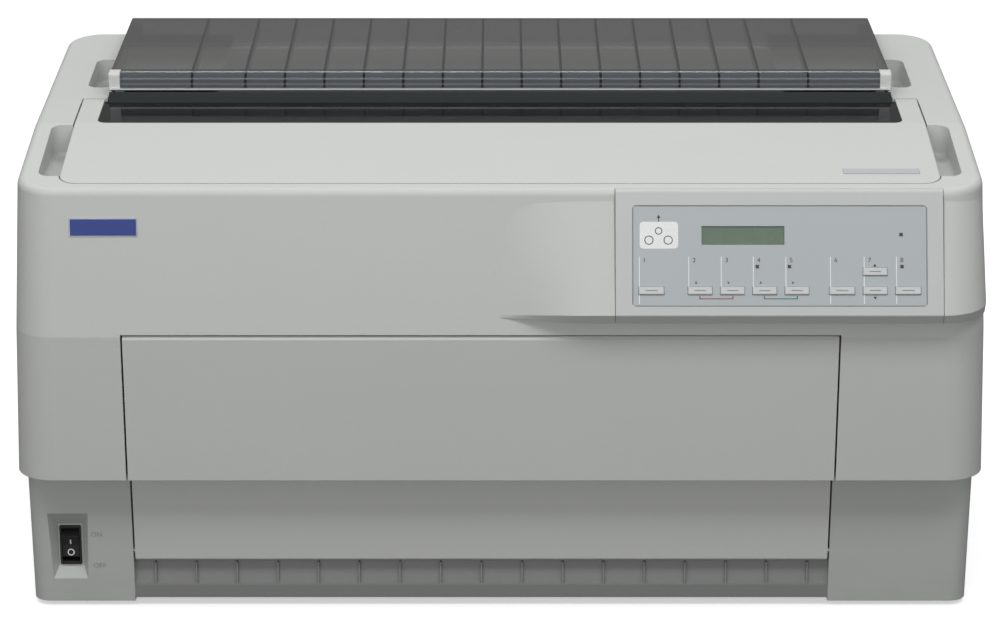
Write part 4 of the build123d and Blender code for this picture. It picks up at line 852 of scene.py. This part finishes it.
# four thin slabs round a rectangle, within it, or outside it for a negative width
def addBorder(bm, x0, x1, y0, y1, width, z0, z1):
    reach = min(width, 0.0)
    for y in (y0, y1 - width):
        addSlab(bm, x0 + reach, x1 - reach, *sorted((y, y + width)), z0, z1)
    for x in (x0, x1 - width):
        addSlab(bm, *sorted((x, x + width)), y0, y1, z0, z1)


def printDividers():
    bm = bmesh.new()
    half = panelPrintAndShade["dividerWidth"] / 2
    for length in ("long", "short"):
        bottom = -panelPrintAndShade[length + "Down"]
        for x in panelPrintAndShade[length + "Dividers"]:
            addSlab(bm, x - half, x + half, bottom, -panelPrintAndShade["dividerTop"], *ink)
    layOnFace(bm, "panel")
    finishPiece("panel_divider_lines", bm, whiteInk, "case")


def printBracket(name, bracket, look, arrows):
    bm = bmesh.new()
    x0, x1 = panelPrintAndShade[bracket]
    top, bottom = (-down for down in panelPrintAndShade["bracketDown"])
    addSlab(bm, x0, x1, bottom, bottom + panelPrintAndShade["bracketLine"], *ink)
    half = panelPrintAndShade["bracketLeg"] / 2
    for x in (x0, x1):
        addSlab(bm, x - half, x + half, bottom, top, *ink)
    for x, down, point in arrows:
        addArrow(bm, x, -down, panelPrintAndShade["tealArrowRadius"], *ink, point)
    layOnFace(bm, "panel")
    finishPiece(name, bm, look, "case")


def printNumbers():
    bm = bmesh.new()
    for text, x in panelPrintAndShade["numbers"]:
        addWords(bm, text, x, -panelPrintAndShade["numberDown"], panelPrintAndShade["numberHeight"], *ink)
    for x, down, point in panelPrintAndShade["microArrows"]:
        addArrow(bm, x, -down, panelPrintAndShade["microArrowRadius"], *ink, point)
    layOnFace(bm, "panel")
    finishPiece("panel_dark_print", bm, darkInkAndGapShade, "case")


# painted shade: a thin grey frame just inside the film's edge, for the shade of the gap round it
def paintOverlayEdgeShade():
    bm = bmesh.new()
    addBorder(bm, *panelPrintAndShade["border"], panelPrintAndShade["borderWidth"], *ink)
    layOnFace(bm, "panel")
    finishPiece("panel_overlay_edge_shade", bm, edgeShadeGrey, "case")


printDividers()
printBracket("panel_red_bracket", "redBracket", redInk, [])
printBracket("panel_teal_bracket", "tealBracket", tealInk, panelPrintAndShade["tealArrows"])
printNumbers()
paintOverlayEdgeShade()
print("panel printed")

# each key has its left edge, its width and its row; painted shade lies in the slot on it and in
# the narrow gap round it
keySet = {
    "rows": {"low": (-73.3, -67.9), "high": (-59.9, -54.5)},
    "keys": {
        "tractor_select": (97.2, 17.8, "low"),
        "font": (131.8, 17.0, "low"),
        "pitch": (154.5, 17.0, "low"),
        "tear_off": (177.0, 17.0, "low"),
        "top_of_form": (199.7, 17.0, "low"),
        "feed": (230.9, 17.8, "low"),
        "micro_up": (254.6, 17.0, "high"),
        "micro_down": (254.6, 17.0, "low"),
        "pause": (277.3, 17.8, "low"),
    },
    "gap": 0.25,
    "gapHeights": (-0.8, -0.32),
    "slotInset": 4.6,
    "slotHalf": 0.25,
    "slotHeights": (0.92, 0.97),
}


def markKeys():
    gaps = bmesh.new()
    inset, half = keySet["slotInset"], keySet["slotHalf"]
    for key, (x0, width, row) in keySet["keys"].items():
        x1 = x0 + width
        bottom, top = keySet["rows"][row]
        # painted shade: a dark frame fills the narrow gap round the key
        addBorder(gaps, x0, x1, bottom, top, -keySet["gap"], *keySet["gapHeights"])
        bm = bmesh.new()
        middle = (bottom + top) / 2
        # painted shade: a grey strip in the bottom of the key's slot
        addSlab(bm, x0 + inset, x1 - inset, middle - half, middle + half, *keySet["slotHeights"])
        layOnFace(bm, "panel")
        finishPiece(key + "_slot_shade", bm, slotShade, key + "_key")
    layOnFace(gaps, "panel")
    finishPiece("key_gap_shadow", gaps, darkInkAndGapShade, "case")


# plain paper-path sketch in the corner of the panel: a box, three rollers and an arrow
sketchSet = {
    "box": (98.0, 125.0, -41.0, -22.0),
    "corner": 2.5,
    "rollers": [(104.5, -35.0, 3.2), (118.0, -35.0, 3.2), (111.3, -28.5, 2.6)],
    "line": 0.6,
    "arrow": (111.3, -22.0, -18.6),
    "arrowHead": 1.5,
    "lineTop": -0.17,
}


def drawSketch():
    bm = bmesh.new()
    addSlab(bm, *sketchSet["box"], *ink, sketchSet["corner"])
    layOnFace(bm, "panel")
    finishPiece("panel_sketch_ground", bm, whiteInk, "case")
    bm = bmesh.new()
    filmTop, inkTop = ink
    lineTop = sketchSet["lineTop"]
    for x, y, radius in sketchSet["rollers"]:
        addRing(bm, x, y, radius, sketchSet["line"], inkTop, lineTop)
    x, low, high = sketchSet["arrow"]
    half = sketchSet["line"] / 2
    addSlab(bm, x - half, x + half, low, high, filmTop, lineTop)
    addArrow(bm, x, high, sketchSet["arrowHead"], filmTop, lineTop)
    layOnFace(bm, "panel")
    finishPiece("panel_sketch_lines", bm, darkInkAndGapShade, "case")


markKeys()
drawSketch()
print("keys marked, sketch drawn")

# badge: blue enamel on a light metal plate
badgeSet = {
    "middle": (-279.4, 301.3),
    "half": (23.3, 5.9),
    "heights": (0.8, 0.95),
    "corner": 0.3,
}


def makeBadge():
    face = surfaces["upperFront"]
    deep, tall = face["rise"]
    x, z = badgeSet["middle"]
    y = face["foot"][0] + deep * (z - face["foot"][1]) / tall
    halfX, halfY = badgeSet["half"]
    bm = bmesh.new()
    addSlab(bm, -halfX, halfX, -halfY, halfY, *badgeSet["heights"], badgeSet["corner"])
    layOn(bm, (x, y, z), face["rise"])
    finishPiece("badge_enamel", bm, badgeBlue, "case")


# small plate on the printer cover, in two layers
coverLabelSet = {
    "middle": (271.0, -124.4),
    "half": (27.3, 4.3),
    "corner": 0.4,
    "layers": [
        # name, inset from the edge, bottom, top, finish
        ("cover_label_rim", 0.0, 0.0, 0.25, labelRim),
        ("cover_label_plate", 0.5, 0.25, 0.35, labelFoil),
    ],
}


def makeCoverLabel():
    deep, tall = roofRise("front", "crest")
    x, y = coverLabelSet["middle"]
    z = roof["front"][1] + tall / deep * (y - roof["front"][0])
    halfX, halfY = coverLabelSet["half"]
    for name, inset, z0, z1, look in coverLabelSet["layers"]:
        bm = bmesh.new()
        addSlab(bm, -halfX + inset, halfX - inset, -halfY + inset, halfY - inset, z0, z1,
                coverLabelSet["corner"])
        layOn(bm, (x, y, z), (deep, tall))
        finishPiece(name, bm, look, "printer_cover")


# raised words beside the switch, painted darker than the base as painted shade for their raised
# edges
switchWordSet = {
    "words": [("ON", -295.6, 59.1), ("OFF", -294.4, 33.6)],
    "height": 5.4,
    "raise": 0.3,
}


def raiseSwitchWords():
    foot = surfaces["baseFront"]["foot"]
    deep, tall = surfaces["baseFront"]["rise"]
    bm = bmesh.new()
    for text, x, z in switchWordSet["words"]:
        up = (z - foot[1]) * math.hypot(deep, tall) / tall
        addWords(bm, text, x, up, switchWordSet["height"], 0.0, switchWordSet["raise"])
    layOnFace(bm, "baseFront")
    finishPiece("switch_words", bm, wordShadeGrey, "case")


# a line and a ring printed on the two faces of the rocker, each with its place and its rise
rockerSet = {
    "x": -316.0,
    "upper": ((-134.25, 49.6), (-2.781, 8.294)),
    "lower": ((-133.365, 41.0), (0.387, 8.739)),
    "lineHalf": (0.45, 2.1),
    "ringRadius": 2.6,
    "ringWidth": 0.75,
    "ink": 0.08,
}


def printOnRocker(name, bm, face):
    place, rise = rockerSet[face]
    layOn(bm, (rockerSet["x"], *place), rise)
    finishPiece(name, bm, whiteInk, "rocker")


def markRocker():
    halfX, halfY = rockerSet["lineHalf"]
    bm = bmesh.new()
    addSlab(bm, -halfX, halfX, -halfY, halfY, 0.0, rockerSet["ink"])
    printOnRocker("rocker_line", bm, "upper")
    bm = bmesh.new()
    addRing(bm, 0, 0, rockerSet["ringRadius"], rockerSet["ringWidth"], 0.0, rockerSet["ink"])
    printOnRocker("rocker_ring", bm, "lower")


makeBadge()
makeCoverLabel()
raiseSwitchWords()
markRocker()
print("badge, plate, switch words and rocker marks made")

# painted shade: opaque dark faces over the rear cover's ribs, and a dark line where its nose
# begins
ribSet = {
    "pitch": 29.6,
    "middle": 1.5,
    "count": 14,
    "outer": 231.0,
    "half": 0.95,
    "top": 360.45,
    "bottom": 354.9,
    "rear": 185.1,
    "noseMiddle": (33.5, 351.6),
    "noseSize": (9.9, 10.8),
    "noseSteps": 8,
    "line": (-284.8, 284.8, 32.7, 34.1, 362.1, 362.96),
}


def ribOutline():
    # y and z round a rib: along the plate, then down a quarter ellipse in the rolled nose
    noseY, noseZ = ribSet["noseMiddle"]
    deep, tall = ribSet["noseSize"]
    outline = [(ribSet["rear"], ribSet["bottom"]), (ribSet["rear"], ribSet["top"])]
    for step in range(ribSet["noseSteps"] + 1):
        angle = math.radians(90 + 90 * step / ribSet["noseSteps"])
        z = min(ribSet["top"], noseZ + tall * math.sin(angle))
        outline.append((noseY + deep * math.cos(angle), z))
    return outline + [(noseY, noseZ), (noseY, ribSet["bottom"])]


def makeRibShade():
    outline = ribOutline()
    first = ribSet["middle"] - (ribSet["count"] - 1) / 2 * ribSet["pitch"]
    places = [first + rib * ribSet["pitch"] for rib in range(ribSet["count"])]
    bm = bmesh.new()
    for x in places + [-ribSet["outer"], ribSet["outer"]]:
        left = [bm.verts.new(((x - ribSet["half"]) * mm, y * mm, z * mm)) for y, z in outline]
        side = bm.faces.new(left)
        raiseFaces(bm, [side], (2 * ribSet["half"] * mm, 0, 0))
        if not side.is_valid:
            bm.faces.new(left)
    bmesh.ops.triangulate(bm, faces=[f for f in bm.faces if len(f.verts) > 4])
    finishPiece("rear_cover_rib_shade", bm, shadowBlack, "rear_cover")
    bm = bmesh.new()
    addSlab(bm, *ribSet["line"])
    bmesh.ops.scale(bm, vec=(mm, mm, mm), verts=bm.verts)
    finishPiece("rear_cover_nose_shade_line", bm, shadowBlack, "rear_cover")


# dark bottoms of the narrow gaps round the printer cover and beside the panel
gapSet = {
    "coverHalf": 312.2,
    "coverFront": -144.4,
    "corner": 13.0,
    "cornerSteps": 8,
    "inset": 0.05,
    "wide": 0.6,
    "heights": (-1.28, -0.08),
    "sideFrom": -41.0,
    "sideTo": 8.0,
    "panelX": (80.825, 311.375),
    "panelHalf": 0.15,
    "panelReach": (-87.5, -3.5),
    "panelHeights": (-1.6, -0.15),
}


# a quarter ring: its section is spun about the corner's middle, to the right for a turn of 1
def addBend(bm, x, y, inner, wide, z0, z1, turn, steps):
    section = bmesh.ops.create_grid(bm, x_segments=1, y_segments=1, size=0.5)["verts"]
    bmesh.ops.scale(bm, vec=(wide, z1 - z0, 1.0), verts=section)
    upright = Matrix.Rotation(math.radians(90), 3, "X")
    bmesh.ops.rotate(bm, cent=(0, 0, 0), matrix=upright, verts=section)
    bmesh.ops.translate(bm, vec=(x + turn * (inner + wide / 2), y, (z0 + z1) / 2), verts=section)
    geometry = section + list({e for v in section for e in v.link_edges})
    geometry += list({f for v in section for f in v.link_faces})
    bmesh.ops.spin(bm, geom=geometry, cent=(x, y, 0), axis=(0, 0, 1), dvec=(0, 0, 0),
                   angle=math.radians(-90 * turn), steps=steps, use_merge=False,
                   use_duplicate=False)


def addSideGaps(bm, y0, y1):
    near = gapSet["coverHalf"] + gapSet["inset"]
    for side in (-1, 1):
        edges = sorted((side * near, side * (near + gapSet["wide"])))
        addSlab(bm, *edges, y0, y1, *gapSet["heights"])


def makeCoverGaps():
    bm = bmesh.new()
    turnX = gapSet["coverHalf"] - gapSet["corner"]
    inner = gapSet["corner"] + gapSet["inset"]
    frontY = upRoof(gapSet["coverFront"], "front", "crest")
    nearY = frontY - gapSet["inset"]
    addSlab(bm, -turnX, turnX, nearY - gapSet["wide"], nearY, *gapSet["heights"])
    for side in (-1, 1):
        addBend(bm, side * turnX, frontY + gapSet["corner"], inner, gapSet["wide"],
                *gapSet["heights"], side, gapSet["cornerSteps"])
    crestY = upRoof(roof["crest"][0], "front", "crest")
    addSideGaps(bm, upRoof(gapSet["sideFrom"], "front", "crest"), crestY)
    layOnRoof(bm, "front", "crest")
    finishPiece("cover_gap_shadow_front", bm, shadowBlack, "case")
    bm = bmesh.new()
    addSideGaps(bm, 0.0, upRoof(gapSet["sideTo"], "crest", "rear"))
    layOnRoof(bm, "crest", "rear")
    finishPiece("cover_gap_shadow_rear", bm, shadowBlack, "case")


def makePanelGaps():
    bm = bmesh.new()
    half = gapSet["panelHalf"]
    for x in gapSet["panelX"]:
        addSlab(bm, x - half, x + half, *gapSet["panelReach"], *gapSet["panelHeights"])
    layOnFace(bm, "panel")
    finishPiece("panel_gap_shadow", bm, shadowBlack, "case")


makeRibShade()
makeCoverGaps()
makePanelGaps()
print("rib faces and gap shadows made")

cameraSet = {
    "place": (0.0, -2.4207, 1.0360),
    "pitch": 70.6,              # degrees up from straight down
    "lens": 121.54,
    "sensor": 36.0,
    "far": 100.0,
}


def setCamera():
    cam = bpy.data.cameras.new("camera")
    cam.lens = cameraSet["lens"]
    cam.sensor_width = cameraSet["sensor"]
    cam.clip_end = cameraSet["far"]
    camera = bpy.data.objects.new("camera", cam)
    camera.location = cameraSet["place"]
    camera.rotation_euler = (math.radians(cameraSet["pitch"]), 0.0, 0.0)
    bpy.context.scene.collection.objects.link(camera)
    bpy.context.scene.camera = camera


# the floor looks white to the camera, but throws little light up at the printer
floorSet = {
    "size": 40.0,
    "seenColour": (0.9, 0.9, 0.9),
    "seenGlow": (0.5, 0.5, 0.5),
    "bounceColour": (0.15, 0.15, 0.15),
    "roughness": 0.75,
}


def setFloor():
    look = Finish("floor_paint")
    seen = look.seen()
    look.set(baseColor=look.blend(seen, floorSet["bounceColour"], floorSet["seenColour"]))
    look.set(emissionColor=look.blend(seen, (0.0, 0.0, 0.0), floorSet["seenGlow"]))
    look.set(roughness=floorSet["roughness"], emissionStrength=1.0)
    bm = bmesh.new()
    bmesh.ops.create_grid(bm, x_segments=1, y_segments=1, size=floorSet["size"] / 2)
    mesh = bpy.data.meshes.new("floor")
    bm.to_mesh(mesh)
    bm.free()
    mesh.materials.append(look.material)
    floor = bpy.data.objects.new("floor", mesh)
    bpy.context.scene.collection.objects.link(floor)


lightSet = {
    "worldColour": (1.0, 1.0, 1.0),
    "worldSeen": 1.0,
    "worldFill": 0.36,
    "lamps": [
        # name, place, aim, size, watts
        ("overhead", (0.0, -1.1, 1.8), (0.0, -0.1, 0.3), (2.4, 0.45), 17.7),
        ("frontFill", (-0.4, -3.2, 1.05), (0.0, -0.1, 0.25), (3.0, 0.8), 22.0),
        ("rearStrip", (0.0, 0.95, 1.95), (0.0, 0.0, 0.36), (2.6, 0.16), 15.0),
    ],
}


def setWorld():
    world = bpy.data.worlds.new("studio")
    world.use_nodes = True
    bpy.context.scene.world = world
    sky = Tree(world.node_tree)
    fill = lightSet["worldFill"]
    background = world.node_tree.nodes["Background"]
    sky.feed(background.inputs["Color"], lightSet["worldColour"])
    sky.feed(background.inputs["Strength"], sky.seen() * (lightSet["worldSeen"] - fill) + fill)


def setLamps():
    for name, place, aim, size, watts in lightSet["lamps"]:
        light = bpy.data.lights.new(name, "AREA")
        light.shape = "RECTANGLE"
        light.size, light.size_y = size
        light.energy = watts
        lamp = bpy.data.objects.new(name, light)
        lamp.location = place
        lamp.rotation_euler = (Vector(aim) - Vector(place)).to_track_quat("-Z", "Y").to_euler()
        bpy.context.scene.collection.objects.link(lamp)


setCamera()
setFloor()
setWorld()
setLamps()
bpy.context.scene.view_settings.view_transform = "Standard"
print("camera, floor and lamps set")
